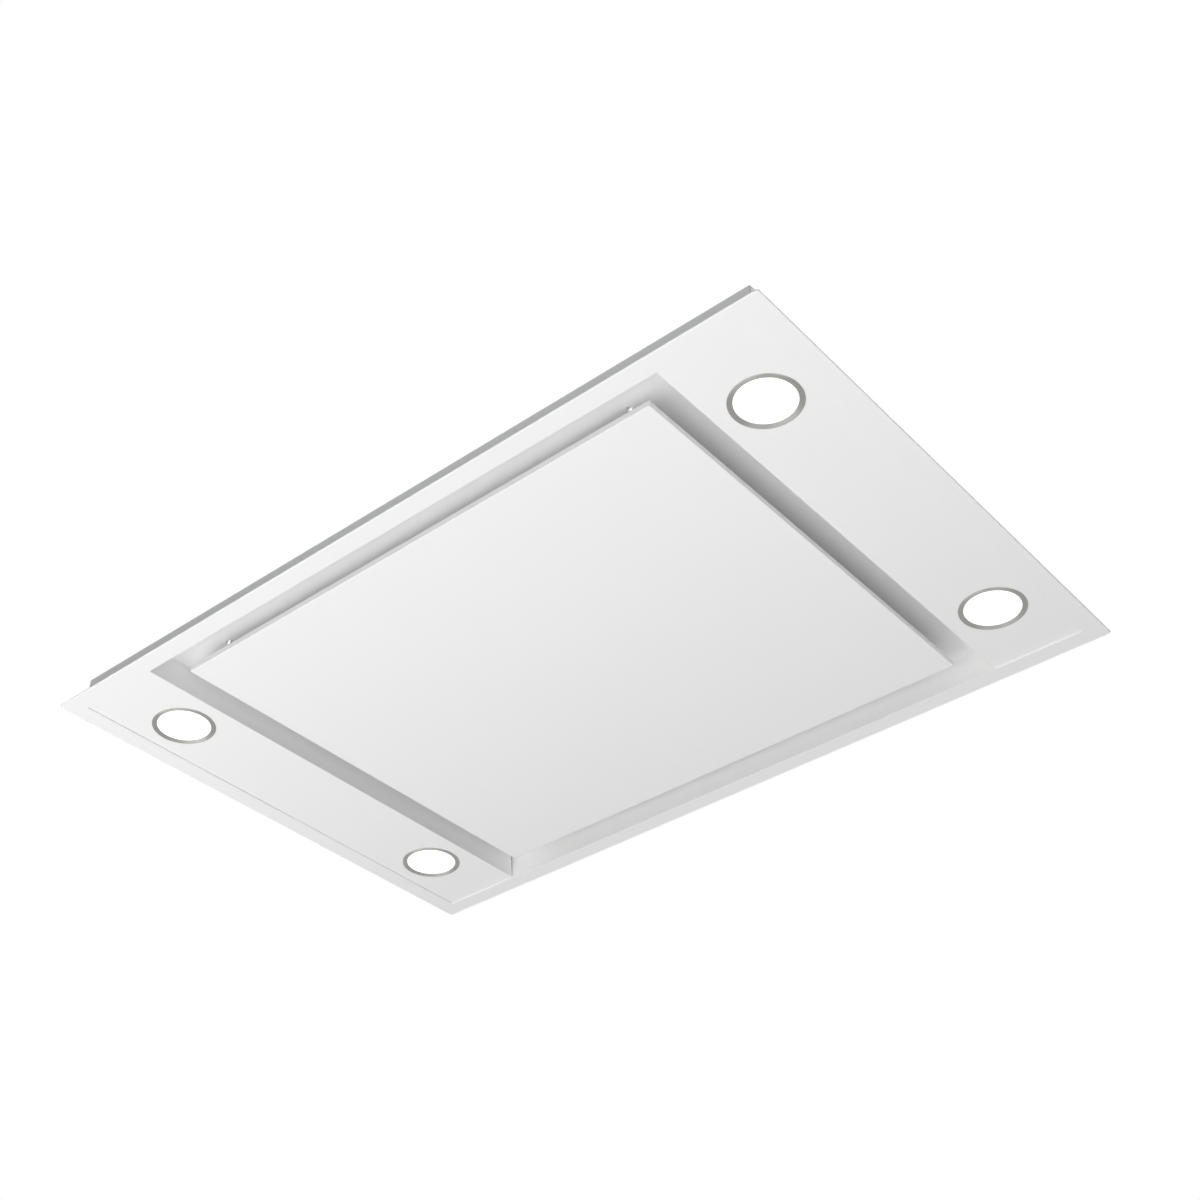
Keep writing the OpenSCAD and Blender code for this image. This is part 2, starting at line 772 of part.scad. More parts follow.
// Outline of the air space in the scroll, grown outwards by g
module scroll_outline(g) {
    h = scroll_step / 2;
    square([scroll_step, scroll_step], center = true);
    for (q = [0:3]) {
        c = scroll_corners[q];
        translate([c[0] * h, c[1] * h]) intersection() {
            circle(scroll_radii[q] + g);
            rotate(90 * q) square(scroll_radii[q] + g);
        }
    }
    patch(outlet_low_x - g, outlet_high_x + g, h, housing_y - housing_t - seat_gap - axis_y);
}

// Scroll casing with its outlet duct, the motor's opening and the posts to the housing's top
module blower_scroll() {
    post_low = scroll_top - scroll_t;
    color("lightslategray") difference() {
        union() {
            translate([axis_x, axis_y, scroll_z]) linear_extrude(scroll_h) scroll_outline(scroll_t);
            at_scroll_posts() translate([0, 0, post_low])
                cylinder(r = hang_post_r, h = housing_top - post_low);
        }
        translate([axis_x, axis_y, scroll_z + scroll_t]) {
            linear_extrude(scroll_h - 2 * scroll_t) scroll_outline(0);
            translate([0, 0, -scroll_t - cut]) cylinder(r = inlet_hole_r, h = scroll_t + 2 * cut);
            cylinder(r = motor_d / 2 + motor_hole_gap, h = scroll_h);
            at_bushes() cylinder(r = bush_neck_r, h = scroll_h);
        }
        translate([0, 0, housing_top - screw_l]) at_scroll_posts()
            cylinder(r = screw_r + run_gap, h = screw_l + cut);
    }
}

// Places of the motor's arms round its axis
module at_bushes() {
    for (k = [0:arm_count - 1]) rotate(360 * k / arm_count) translate([bush_ring_r, 0, 0]) children();
}

// Inlet ring under the scroll, with a rounded throat
module inlet_ring() {
    low = scroll_z - scroll_t;
    color("black") translate([axis_x, axis_y, 0]) rotate_extrude() {
        patch(throat_r + bell_r, inlet_plate_r, low, scroll_z);
        translate([throat_r + bell_r, low + bell_r]) intersection() {
            difference() {
                circle(bell_r);
                circle(bell_r - scroll_t);
            }
            translate([-bell_r, -bell_r]) square(bell_r);
        }
    }
}

// Impeller: blades between a front ring and a back plate, dished round the motor
module impeller() {
    wheel_r = impeller_d / 2;
    root_r = wheel_r - blade_l;
    color("black") translate([axis_x, axis_y, 0]) {
        rotate_extrude() {
            patch(wheel_r - wheel_ring_w, wheel_r, wheel_z, wheel_z + wheel_t);
            patch(cup_r, wheel_r, wheel_top - wheel_t, wheel_top);
            patch(cup_r, cup_r + wheel_t, cup_floor, wheel_top);
            patch(hub_r - wheel_t, cup_r + wheel_t, cup_floor - wheel_t, cup_floor);
            patch(shaft_r, hub_r, cup_floor - hub_h / 2, cup_floor + wheel_t);
        }
        translate([0, 0, wheel_z]) linear_extrude(impeller_h - wheel_t / 2) intersection() {
            circle(wheel_r - run_gap);
            for (k = [0:blade_count - 1])
                rotate(360 * k / blade_count) translate([root_r, 0]) rotate(blade_angle)
                    patch(0, 2 * blade_l, -blade_t / 2, blade_t / 2);
        }
    }
}

// Motor, hung by three arms above the scroll and reaching down into the impeller
module motor() {
    motor_r = motor_d / 2;
    arm_z = scroll_top + bush_h;
    color("silver") translate([axis_x, axis_y, 0]) difference() {
        union() {
            translate([0, 0, motor_low]) cylinder(r = motor_r, h = motor_high - motor_low);
            translate([0, 0, (motor_low + scroll_top) / 2])
                cylinder(r = motor_r + motor_hole_gap / 2, h = seam_t);
            for (k = [0:arm_count - 1]) rotate(360 * k / arm_count)
                block([0, -arm_w / 2, arm_z], [bush_ring_r + arm_w / 2, arm_w / 2, arm_z + arm_t]);
        }
        at_bushes() cylinder(r = bush_neck_r, h = 2 * housing_top);
        translate([0, 0, motor_low - cut]) cylinder(r = shaft_r + run_gap, h = cup_h - wheel_t);
    }
}

// Motor shaft, which turns with the impeller
module motor_shaft() {
    low = cup_floor - hub_h / 2;
    color("silver") translate([axis_x, axis_y, low])
        cylinder(r = shaft_r, h = hub_h / 2 + cup_h - 2 * wheel_t);
}

// Rubber bushes between the motor's arms and the scroll, with a neck and head through each
module motor_bushes() {
    neck_low = scroll_top - scroll_t;
    arm_top = scroll_top + bush_h + arm_t;
    head_r = bush_r - bush_head_t;
    color("black") translate([axis_x, axis_y, 0]) at_bushes() {
        translate([0, 0, scroll_top]) cylinder(r = bush_r, h = bush_h);
        translate([0, 0, neck_low]) cylinder(r = bush_neck_r, h = arm_top - neck_low);
        for (z = [arm_top, neck_low - bush_head_t])
            translate([0, 0, z]) cylinder(r = head_r, h = bush_head_t);
    }
}

// Duct collar: a base plate on the housing's far wall, a round spigot and a stop ring for the flaps
module outlet_collar() {
    side = outlet_r + collar_side_w;
    height = outlet_r + collar_rim;
    stop_y = flap_y - flap_t / 2 - seat_gap - stop_l;
    color("dimgray") difference() {
        translate([outlet_x, 0, outlet_z]) difference() {
            union() {
                block([-side, housing_y, -height], [side, collar_y, height]);
                translate([0, collar_y, 0]) rotate([-90, 0, 0]) cylinder(r = outlet_r, h = collar_len);
            }
            rotate([-90, 0, 0]) {
                cylinder(r = collar_bore_r - stop_w, h = 2 * housing_y);
                translate([0, 0, housing_y - cut])
                    cylinder(r = collar_bore_r, h = stop_y - housing_y + cut);
                translate([0, 0, stop_y + stop_l]) cylinder(r = collar_bore_r, h = 2 * housing_y);
            }
            translate([0, flap_y, 0]) cylinder(r = flap_pin_r, h = 2 * outlet_r + cut, center = true);
        }
        at_collar_screws() cylinder(r = screw_r + run_gap, h = 2 * collar_base_t + cut);
    }
}

// Half-round non-return flap with two knuckles on the pin
module flap(s) {
    knuckle_h = knuckle_pitch - move_gap;
    color("darkgray") translate([outlet_x, flap_y, outlet_z]) on_side(s) {
        rotate([90, 0, 0]) linear_extrude(flap_t, center = true) intersection() {
            circle(flap_r);
            patch(knuckle_r + move_gap, flap_r, -flap_r, flap_r);
        }
        for (k = [0, 1]) translate([0, 0, (2 * k + s) * knuckle_pitch - knuckle_zone_share * flap_r])
            difference() {
                union() {
                    cylinder(r = knuckle_r, h = knuckle_h);
                    block([0, -flap_t / 2, 0], [knuckle_r + 2 * move_gap, flap_t / 2, knuckle_h]);
                }
                translate([0, 0, -cut]) cylinder(r = flap_pin_r + run_gap, h = knuckle_h + 2 * cut);
            }
    }
}

// Pin of the two flaps, held in the collar's wall
module flap_pin() {
    color("silver") translate([outlet_x, flap_y, outlet_z])
        cylinder(r = flap_pin_r, h = 2 * (outlet_r - collar_t / 4), center = true);
}

// Tray of the control box, with a hole for the gland
module control_box() {
    half_w = control_w / 2;
    half_l = control_l / 2;
    top = casing_h + control_h - control_t;
    color("gainsboro") difference() {
        translate([control_x, 0, 0]) difference() {
            block([-half_w, -half_l, casing_h], [half_w, half_l, top]);
            block([-half_w + control_t, -half_l + control_t, casing_h + control_t],
                [half_w - control_t, half_l - control_t, top + cut]);
        }
        translate([gland_x, half_l, gland_z]) rotate([90, 0, 0])
            cylinder(r = gland_r, h = 4 * control_t, center = true);
    }
}

// Lid of the control box, with a lip outside the tray's walls
module control_lid() {
    half_w = control_w / 2 + seat_gap;
    half_l = control_l / 2 + seat_gap;
    top = casing_h + control_h;
    low = top - control_t - lid_lip;
    color("gainsboro") translate([control_x, 0, 0]) difference() {
        block([-half_w - control_t, -half_l - control_t, low], [half_w + control_t, half_l + control_t, top]);
        block([-half_w, -half_l, low - cut], [half_w, half_l, top - control_t]);
    }
}

// Circuit board on four feet, with a coil, relays and a capacitor
module control_board() {
    low = casing_h + control_t;
    top = low + circuit_rise + circuit_t;
    half_w = circuit_w / 2;
    half_l = circuit_l / 2;
    board_y = -(control_l - circuit_l) / 2 + 3 * control_t;
    color("darkgreen") translate([control_x, board_y, 0]) {
        block([-half_w, -half_l, low + circuit_rise], [half_w, half_l, top]);
        for (x = [-1, 1], y = [-1, 1])
            translate([x * (half_w - circuit_rise), y * (half_l - circuit_rise), low])
                cylinder(r = circuit_rise / 2, h = circuit_rise);
        translate([-coil_size[0] / 2, -half_l + circuit_rise, top]) cube(coil_size);
        for (k = [-1, 0, 1])
            translate([k * (relay_size[0] + 2 * circuit_t) - relay_size[0] / 2, 0, top]) cube(relay_size);
        translate([0, half_l - 2 * can_r, top]) cylinder(r = can_r, h = can_h);
    }
}

// Terminal block by the gland, with a screw well for each pole
module terminal_block() {
    pitch = terminal_size[0] / terminal_poles;
    low_x = control_x - terminal_size[0] / 2;
    low_y = control_l / 2 - 2 * terminal_size[1];
    color("white") translate([low_x, low_y, casing_h + control_t]) difference() {
        cube(terminal_size);
        for (k = [0:terminal_poles - 1])
            translate([(k + 1 / 2) * pitch, terminal_size[1] / 2, terminal_size[2] / 2])
                cylinder(d = pitch / 2, h = terminal_size[2]);
    }
}

// Cable gland in the control box's far wall: nut, thread, hexagon and domed cap round one bore
module cable_gland() {
    nut_low = -control_t - gland_nut_t / 2;
    cap_r = gland_cap_r * gland_taper_share;
    color("dimgray") translate([gland_x, control_l / 2, gland_z]) rotate([-90, 0, 0]) difference() {
        union() {
            translate([0, 0, nut_low]) cylinder(r = gland_hex_r, h = gland_nut_t / 2, $fn = 6);
            translate([0, 0, nut_low]) cylinder(r = gland_r, h = gland_nut_t - nut_low);
            cylinder(r = gland_hex_r, h = gland_nut_t, $fn = 6);
            translate([0, 0, gland_nut_t]) cylinder(r1 = gland_cap_r, r2 = cap_r, h = gland_cap_l);
        }
        translate([0, 0, nut_low - cut])
            cylinder(d = gland_bore_d, h = gland_nut_t + gland_cap_l - nut_low + 2 * cut);
    }
}

// Lamp driver: a flat case with a cap at each end and two screw ears
module led_driver() {
    half_w = driver_w / 2;
    half_l = driver_l / 2;
    cap_half_w = half_w + driver_cap_lip;
    color("whitesmoke") translate([driver_x, 0, casing_h]) {
        block([-half_w, -half_l, 0], [half_w, half_l, driver_h - driver_cap_lip]);
        for (side = [0, 1]) mirror([0, side, 0]) {
            block([-cap_half_w, half_l - driver_cap_l, 0], [cap_half_w, half_l, driver_h]);
            difference() {
                block([-driver_ear_w / 2, half_l, 0],
                    [driver_ear_w / 2, half_l + driver_ear_l, driver_ear_t]);
                translate([0, half_l + driver_ear_l / 2, -cut])
                    cylinder(r = screw_r, h = driver_ear_t + 2 * cut);
            }
        }
    }
}

// Z-shaped hanger bracket: a foot on the casing, a web and an ear with the rod hole
module hanger_bracket(i) {
    half = hanger_w / 2;
    top = casing_h + hanger_h;
    web = half + hanger_t;
    color("lightsteelblue") translate(corner_place(i, casing_x - hanger_inset_x, casing_y - hanger_inset_y))
        on_side(i % 2) difference() {
            union() {
                block([-half, -half, top - hanger_t], [half, half, top]);
                block([-web, -half, casing_h], [-half, half, top]);
                block([-half - hanger_foot_l, -half, casing_h], [-half, half, casing_h + hanger_t]);
            }
            cylinder(d = hanger_hole_d, h = top + cut);
        }
}

// Screws of the housing's flanges, the scroll's posts and the duct collar
module screws() {
    color("silver") {
        translate([0, 0, casing_h + housing_t]) at_flange_screws() screw();
        translate([0, 0, housing_top + housing_t]) at_scroll_posts() screw();
        at_collar_screws() translate([0, 0, collar_base_t]) screw();
    }
}

// Leads from the control box and the driver down to the four lamps
module lamp_leads() {
    box_ends = [control_l / 2, driver_l / 2];
    color("white") for (s = [0, 1], side = [-1, 1]) {
        x = (2 * s - 1) * lamp_x;
        lead([
            [x, side * box_ends[s], lead_top_z],
            [x, side * lead_hole_y, lead_top_z],
            [x, side * lead_hole_y, lead_low_z],
            [x, side * (lamp_y - sink_r), lead_low_z]
        ], [1, 0, 0], lead_r);
    }
}

// Leads from the control box to the driver, along the housing's near wall, and to the motor
module power_leads() {
    box_x = control_x + control_w / 2;
    rise_x = axis_x - scroll_left - lead_bend;
    color("white") {
        lead([
            [control_x, -control_l / 2, lead_floor_z],
            [control_x, lead_back_y, lead_floor_z],
            [lead_driver_x, lead_back_y, lead_floor_z],
            [lead_driver_x, -driver_l / 2, lead_floor_z]
        ], [0, 0, 1], lead_r);
        lead([
            [box_x, axis_y, lead_motor_z],
            [rise_x, axis_y, lead_motor_z],
            [rise_x, axis_y, motor_high - 2 * lead_r],
            [axis_x - motor_d / 2, axis_y, motor_high - 2 * lead_r]
        ], [0, 1, 0], lead_r);
    }
}

border_frame();
lower_casing();
filter_deck();
suction_panel();
hinge_pins();
for (s = [0, 1]) {
    lamp_shelf(s);
    panel_rail(s);
    hinge_bracket(s);
    hinge_ear(s);
    catch_post(s);
    catch_clip(s);
    filter_frame(s);
    filter_mesh(s);
    filter_latch(s);
    flap(s);
}
for (i = [0:3]) {
    lamp_ring(i);
    lamp_lens(i);
    lamp_body(i);
    hanger_bracket(i);
}
lamp_clips();
motor_housing();
blower_scroll();
inlet_ring();
impeller();
motor();
motor_shaft();
motor_bushes();
outlet_collar();
flap_pin();
control_box();
control_lid();
control_board();
terminal_block();
cable_gland();
led_driver();
screws();
lamp_leads();
power_leads();
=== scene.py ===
import json

import bmesh
import bpy
import numpy as np
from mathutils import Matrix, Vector

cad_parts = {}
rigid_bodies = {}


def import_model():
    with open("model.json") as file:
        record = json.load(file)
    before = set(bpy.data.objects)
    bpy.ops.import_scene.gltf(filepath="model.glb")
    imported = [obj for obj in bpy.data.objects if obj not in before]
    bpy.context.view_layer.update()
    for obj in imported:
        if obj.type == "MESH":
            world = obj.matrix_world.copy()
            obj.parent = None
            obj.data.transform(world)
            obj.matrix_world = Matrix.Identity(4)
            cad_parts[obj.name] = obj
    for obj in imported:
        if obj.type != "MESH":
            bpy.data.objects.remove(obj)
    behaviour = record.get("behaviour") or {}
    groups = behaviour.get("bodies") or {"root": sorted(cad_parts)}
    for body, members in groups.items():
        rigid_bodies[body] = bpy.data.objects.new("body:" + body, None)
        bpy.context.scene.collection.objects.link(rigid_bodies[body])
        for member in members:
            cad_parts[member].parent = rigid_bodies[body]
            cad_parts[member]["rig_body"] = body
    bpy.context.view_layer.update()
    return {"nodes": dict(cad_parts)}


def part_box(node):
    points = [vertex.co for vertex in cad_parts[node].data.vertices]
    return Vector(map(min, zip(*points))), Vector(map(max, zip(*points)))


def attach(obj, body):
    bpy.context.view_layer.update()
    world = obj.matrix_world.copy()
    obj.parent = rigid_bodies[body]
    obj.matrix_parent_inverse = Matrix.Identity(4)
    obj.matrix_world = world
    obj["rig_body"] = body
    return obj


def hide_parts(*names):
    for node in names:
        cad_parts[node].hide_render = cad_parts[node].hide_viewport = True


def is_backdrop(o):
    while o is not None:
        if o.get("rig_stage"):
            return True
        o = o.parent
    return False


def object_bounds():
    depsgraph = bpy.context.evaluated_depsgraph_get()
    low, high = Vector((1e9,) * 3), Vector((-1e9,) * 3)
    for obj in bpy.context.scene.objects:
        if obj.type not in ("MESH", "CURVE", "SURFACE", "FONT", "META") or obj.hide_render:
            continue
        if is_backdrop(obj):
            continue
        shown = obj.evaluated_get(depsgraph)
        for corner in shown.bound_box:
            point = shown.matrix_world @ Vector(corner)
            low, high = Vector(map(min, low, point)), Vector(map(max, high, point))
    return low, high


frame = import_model()

# Camera: below the hood and near its right end, looking up towards the far left, as a cook does
# who steps back from the hob. The hood hangs level, and the lens is slightly long.
heading = Vector((-0.5124, 0.5990, 0.6153))
camera = bpy.data.objects.new("camera", bpy.data.cameras.new("camera"))
camera.data.sensor_width = 36.0
camera.data.lens = 55.1
camera.data.shift_x = 0.032
camera.data.clip_start = 0.01
camera.location = (0.9829, -1.1639, -1.0973)
camera.rotation_mode = "QUATERNION"
camera.rotation_quaternion = heading.to_track_quat("-Z", "Y")
bpy.context.scene.collection.objects.link(camera)
bpy.context.scene.camera = camera
bpy.context.scene.view_settings.view_transform = "Standard"

# Room: an even pale world, a plain pale floor 2.4 m below the hood, one long soft lamp low before
# the near edge, a weaker one low at each side, one above for the top, and one high before the near
# side. Camera, glossy and transmission rays see a white world and a brighter floor.
sky_light, sky_seen = 0.04, 1.0
floor_light, floor_seen = 0.13, 0.6
floor_drop, floor_half = 2.4, 6.0
lamps = [("front_lamp", (-0.35, -1.15, -1.3), 3.0, 1.1, 27.0),
         ("right_lamp", (2.2, -0.9, -1.5), 1.6, 1.6, 15.8),
         ("left_lamp", (-2.2, -0.9, -1.5), 1.6, 1.6, 1.5),
         ("top_lamp", (0.2, 0.8, 2.3), 3.2, 2.4, 54.0),
         ("near_lamp", (-0.6, -2.6, 1.7), 2.6, 1.6, 14.0)]


def shown_light(tree, low, high):
    """Low for rays that light other surfaces, and high for camera, glossy and transmission rays:
    the greatest of the three rays' marks, each 0 or 1, carried from 0..1 to low..high."""
    rays = tree.nodes.new("ShaderNodeLightPath")
    seen = rays.outputs["Is Camera Ray"]
    for label in ("Is Glossy Ray", "Is Transmission Ray"):
        either = tree.nodes.new("ShaderNodeMath")
        either.operation = "MAXIMUM"
        tree.links.new(seen, either.inputs[0])
        tree.links.new(rays.outputs[label], either.inputs[1])
        seen = either.outputs[0]
    level = tree.nodes.new("ShaderNodeMapRange")
    level.inputs["To Min"].default_value = low
    level.inputs["To Max"].default_value = high
    tree.links.new(seen, level.inputs["Value"])
    return level.outputs["Result"]


world = bpy.data.worlds.new("pale_room")
world.use_nodes = True
sky = world.node_tree
sky.links.new(shown_light(sky, sky_light, sky_seen), sky.nodes["Background"].inputs["Strength"])
sky.nodes["Background"].inputs["Color"].default_value = (1, 1, 1, 1)
bpy.context.scene.world = world

floor_corners = np.array([(-1, -1, 0), (1, -1, 0), (1, 1, 0), (-1, 1, 0)]) * floor_half
floor_mesh = bpy.data.meshes.new("floor")
floor_mesh.from_pydata(floor_corners - (0, 0, floor_drop), [], [(0, 1, 2, 3)])
floor = bpy.data.objects.new("floor", floor_mesh)
floor_paint = bpy.data.materials.new("floor_paint")
floor_paint.use_nodes = True
floor_shader = floor_paint.node_tree.nodes["Principled BSDF"]
floor_shader.inputs["Base Color"].default_value = (0.86, 0.86, 0.86, 1)
floor_shader.inputs["Roughness"].default_value = 0.9
floor_shader.inputs["Emission Color"].default_value = (1, 1, 1, 1)
floor_paint.node_tree.links.new(shown_light(floor_paint.node_tree, floor_light, floor_seen),
                                floor_shader.inputs["Emission Strength"])
floor_mesh.materials.append(floor_paint)
bpy.context.scene.collection.objects.link(floor)
floor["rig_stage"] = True

for name, place, width, depth, power in lamps:
    soft_lamp = bpy.data.objects.new(name, bpy.data.lights.new(name, "AREA"))
    soft_lamp.data.shape = "RECTANGLE"
    soft_lamp.data.size, soft_lamp.data.size_y = width, depth
    soft_lamp.data.energy = power
    soft_lamp.location = place
    soft_lamp.rotation_mode = "QUATERNION"
    soft_lamp.rotation_quaternion = (-Vector(place)).to_track_quat("-Z", "Y")
    bpy.context.scene.collection.objects.link(soft_lamp)


# Border: one frame of 1 mm white coated steel sheet. Its outer edge is hemmed back on itself,
# and its inner edge is folded up to line the casing. It covers the edge of the ceiling's cut-out.
X, Y, Z = range(3)
same_point = 2e-6


def box(node):
    """Low and high corner of a CAD node's box in millimetres, to the nearest thousandth."""
    return np.round([np.array(corner) * 1000 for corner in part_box(node)], 3)


def node_group(name, numbers, masks):
    """Empty shader node group with these number inputs and mask outputs."""
    tree = bpy.data.node_groups.new(name, "ShaderNodeTree")
    for label, value in numbers.items():
        socket = tree.interface.new_socket(label, in_out="INPUT", socket_type="NodeSocketFloat")
        socket.default_value = value
    for label in masks:
        tree.interface.new_socket(label, in_out="OUTPUT", socket_type="NodeSocketFloat")
    return tree, tree.nodes.new("NodeGroupInput"), tree.nodes.new("NodeGroupOutput")


def mapped(tree, value, low, high, start=0.0, end=1.0):
    """Value carried in a straight line from start..end to low..high, and held inside it."""
    step = tree.nodes.new("ShaderNodeMapRange")
    ends = {"From Min": start, "From Max": end, "To Min": low, "To Max": high}
    for label, number in ends.items():
        step.inputs[label].default_value = number
    tree.links.new(value, step.inputs["Value"])
    return step.outputs["Result"]


def pattern(tree, kind, scale, output="Fac", **settings):
    """Noise or Voronoi pattern over the piece's own metres, its scale a number or a socket."""
    place = tree.nodes.new("ShaderNodeTexCoord")
    texture = tree.nodes.new(kind)
    for label, number in settings.items():
        texture.inputs[label].default_value = number
    if isinstance(scale, float):
        texture.inputs["Scale"].default_value = scale
    else:
        tree.links.new(scale, texture.inputs["Scale"])
    tree.links.new(place.outputs["Object"], texture.inputs["Vector"])
    return texture.outputs[output]


def grain_group():
    """Grain of powder coat, plastic and rubber: small even noise for the height, and broad
    blotches for the shade."""
    tree, given, made = node_group("fine_grain", {"Scale": 1500.0, "Blotch": 7.0},
                                   ("Height", "Shade"))
    tree.links.new(pattern(tree, "ShaderNodeTexNoise", given.outputs["Scale"], Detail=1.0),
                   made.inputs["Height"])
    blotch = pattern(tree, "ShaderNodeTexNoise", given.outputs["Blotch"], Detail=3.0)
    tree.links.new(mapped(tree, blotch, 0.0, 1.0, 0.3, 0.7), made.inputs["Shade"])
    return tree


def toned(tree, shade, dark, light, rough):
    """Gives the shader a colour that runs from dark to light, and a roughness that runs over its
    own two ends, with the shade."""
    shader = tree.nodes["Principled BSDF"]
    tones = tree.nodes.new("ShaderNodeValToRGB")
    tones.color_ramp.elements[0].color = (*dark, 1)
    tones.color_ramp.elements[1].color = (*light, 1)
    tree.links.new(shade, tones.inputs["Fac"])
    tree.links.new(tones.outputs["Color"], shader.inputs["Base Color"])
    tree.links.new(mapped(tree, shade, *rough), shader.inputs["Roughness"])


def coat(name, dark, light, rough, detail, bump, metallic=0.0, constants=(), **numbers):
    """Material toned by the detail group's Shade, with the group's Height as a bump of that many
    metres. The constants go to the shader, and the numbers to the group."""
    made = bpy.data.materials.new(name)
    made.use_nodes = True
    tree = made.node_tree
    shader = tree.nodes["Principled BSDF"]
    shader.inputs["Metallic"].default_value = metallic
    for label, value in dict(constants).items():
        shader.inputs[label].default_value = value
    use = tree.nodes.new("ShaderNodeGroup")
    use.node_tree = detail
    for label, value in numbers.items():
        use.inputs[label].default_value = value
    toned(tree, use.outputs["Shade"], dark, light, rough)
    relief = tree.nodes.new("ShaderNodeBump")
    relief.inputs["Distance"].default_value = bump
    tree.links.new(use.outputs["Height"], relief.inputs["Height"])
    tree.links.new(relief.outputs["Normal"], shader.inputs["Normal"])
    return made


def arc(centre, radius, start, end, steps=5):
    """Points of a circle's arc: the centre plus the radius at even angles, in degrees."""
    turn = np.radians(np.linspace(start, end, steps + 1))
    return np.column_stack([centre[0] + radius * np.cos(turn), centre[1] + radius * np.sin(turn)])


def rings(half_x, half_y, radius, height, steps=6):
    """Rectangles with round corners, one for each height: each corner's centre plus the radius at
    steps + 1 even angles of its quarter turn, anticlockwise. Rows x points x 3."""
    turn = np.radians(np.arange(4)[:, None] * 90 + np.linspace(0, 90, steps + 1))
    side = np.array([[1, 1], [-1, 1], [-1, -1], [1, -1]], float)
    hx, hy, r, z = (v[:, None, None] for v in np.broadcast_arrays(half_x, half_y, radius, height))
    x = side[:, 0, None] * (hx - r) + r * np.cos(turn)
    y = side[:, 1, None] * (hy - r) + r * np.sin(turn)
    return np.stack([x, y, z + 0 * x], -1).reshape(len(z), -1, 3)


def grid(points, wrap_rows=False, caps=False):
    """Faces between neighbours on a grid of points, rows x columns x 3, with the columns wrapped
    round, the rows too where wrap_rows is set, and the first and last rows filled by one flat
    face each where caps is set."""
    rows, columns = points.shape[:2]
    last = rows if wrap_rows else rows - 1
    i, j = np.meshgrid(np.arange(last), np.arange(columns), indexing="ij")
    here, over = i * columns, (i + 1) % rows * columns
    far = (j + 1) % columns
    quads = np.stack([here + j, here + far, over + far, over + j], -1).reshape(-1, 4).tolist()
    if caps:
        quads += [list(range(columns))[::-1], list(range((rows - 1) * columns, rows * columns))]
    return points.reshape(-1, 3), quads


def pressed(profile, half_x, half_y, corner, least, wrap_rows=False, caps=False):
    """Profile of (inset, height) carried round a rectangle of these half sizes. Its corners have
    the corner radius less the inset, and no less than the least radius."""
    inset, height = profile.T
    radius = np.maximum(corner - inset, least)
    return grid(rings(half_x - inset, half_y - inset, radius, height), wrap_rows, caps)


def joined(shapes):
    """Several (points, faces) as one, each one's faces counting on from the points before."""
    points, faces, count = [], [], 0
    for part_points, part_faces in shapes:
        points.append(part_points)
        faces += [[v + count for v in face] for face in part_faces]
        count += len(part_points)
    return np.concatenate(points), faces


def placed(name, mesh, finish, body, replaced):
    """Object of a mesh in one finish, that rides its body and stands for these CAD nodes."""
    mesh.materials.append(finish)
    made = bpy.data.objects.new(name, mesh)
    bpy.context.scene.collection.objects.link(made)
    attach(made, body)
    if replaced:
        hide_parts(*replaced)
    return made


def piece(name, shape, finish, body, replaced=(), sharp=40):
    """Object from (points in millimetres, faces): equal points are merged, faces turned
    outwards, and edges that turn more than the sharp angle, in degrees, kept crisp."""
    mesh = bpy.data.meshes.new(name)
    mesh.from_pydata(shape[0] / 1000, [], shape[1])
    work = bmesh.new()
    work.from_mesh(mesh)
    bmesh.ops.remove_doubles(work, verts=work.verts, dist=same_point)
    bmesh.ops.recalc_face_normals(work, faces=work.faces)
    work.to_mesh(mesh)
    work.free()
    mesh.shade_smooth()
    mesh.set_sharp_from_angle(angle=np.radians(sharp))
    made = placed(name, mesh, finish, body, replaced)
    made.modifiers.new("flat_faces", "WEIGHTED_NORMAL").keep_sharp = True
    return made


fine_grain = grain_group()
white_paint = coat("white_powder_coat", (0.925, 0.925, 0.922), (0.932, 0.932, 0.93), (0.44, 0.5),
                   fine_grain, Scale=1600.0, Blotch=5.0, bump=0.00001,
                   constants={"Specular IOR Level": 0.3})
border_x, border_y, liner_top = box("border_frame")[1]
sheet, hem_radius, hem_width, hem_gap = 1.0, 1.0, 8.0, 0.02
liner_inset, bend_inside, bend_outside = 19.8, 0.2, 0.25
border_profile = np.concatenate([
    arc((hem_radius, hem_radius), hem_radius, 270, 90, 8),
    [[hem_width, 2 * hem_radius], [hem_width, sheet + hem_gap]],
    arc((liner_inset - bend_inside, sheet + bend_inside), bend_inside, 270, 360, 3),
    [[liner_inset, liner_top], [liner_inset + sheet, liner_top]],
    arc((liner_inset + sheet - bend_outside, bend_outside), bend_outside, 0, -90, 4)])
border = pressed(border_profile, border_x, border_y, corner=3, least=0.4, wrap_rows=True)
piece("border_sheet", border, white_paint, "casing", ["border_frame"])


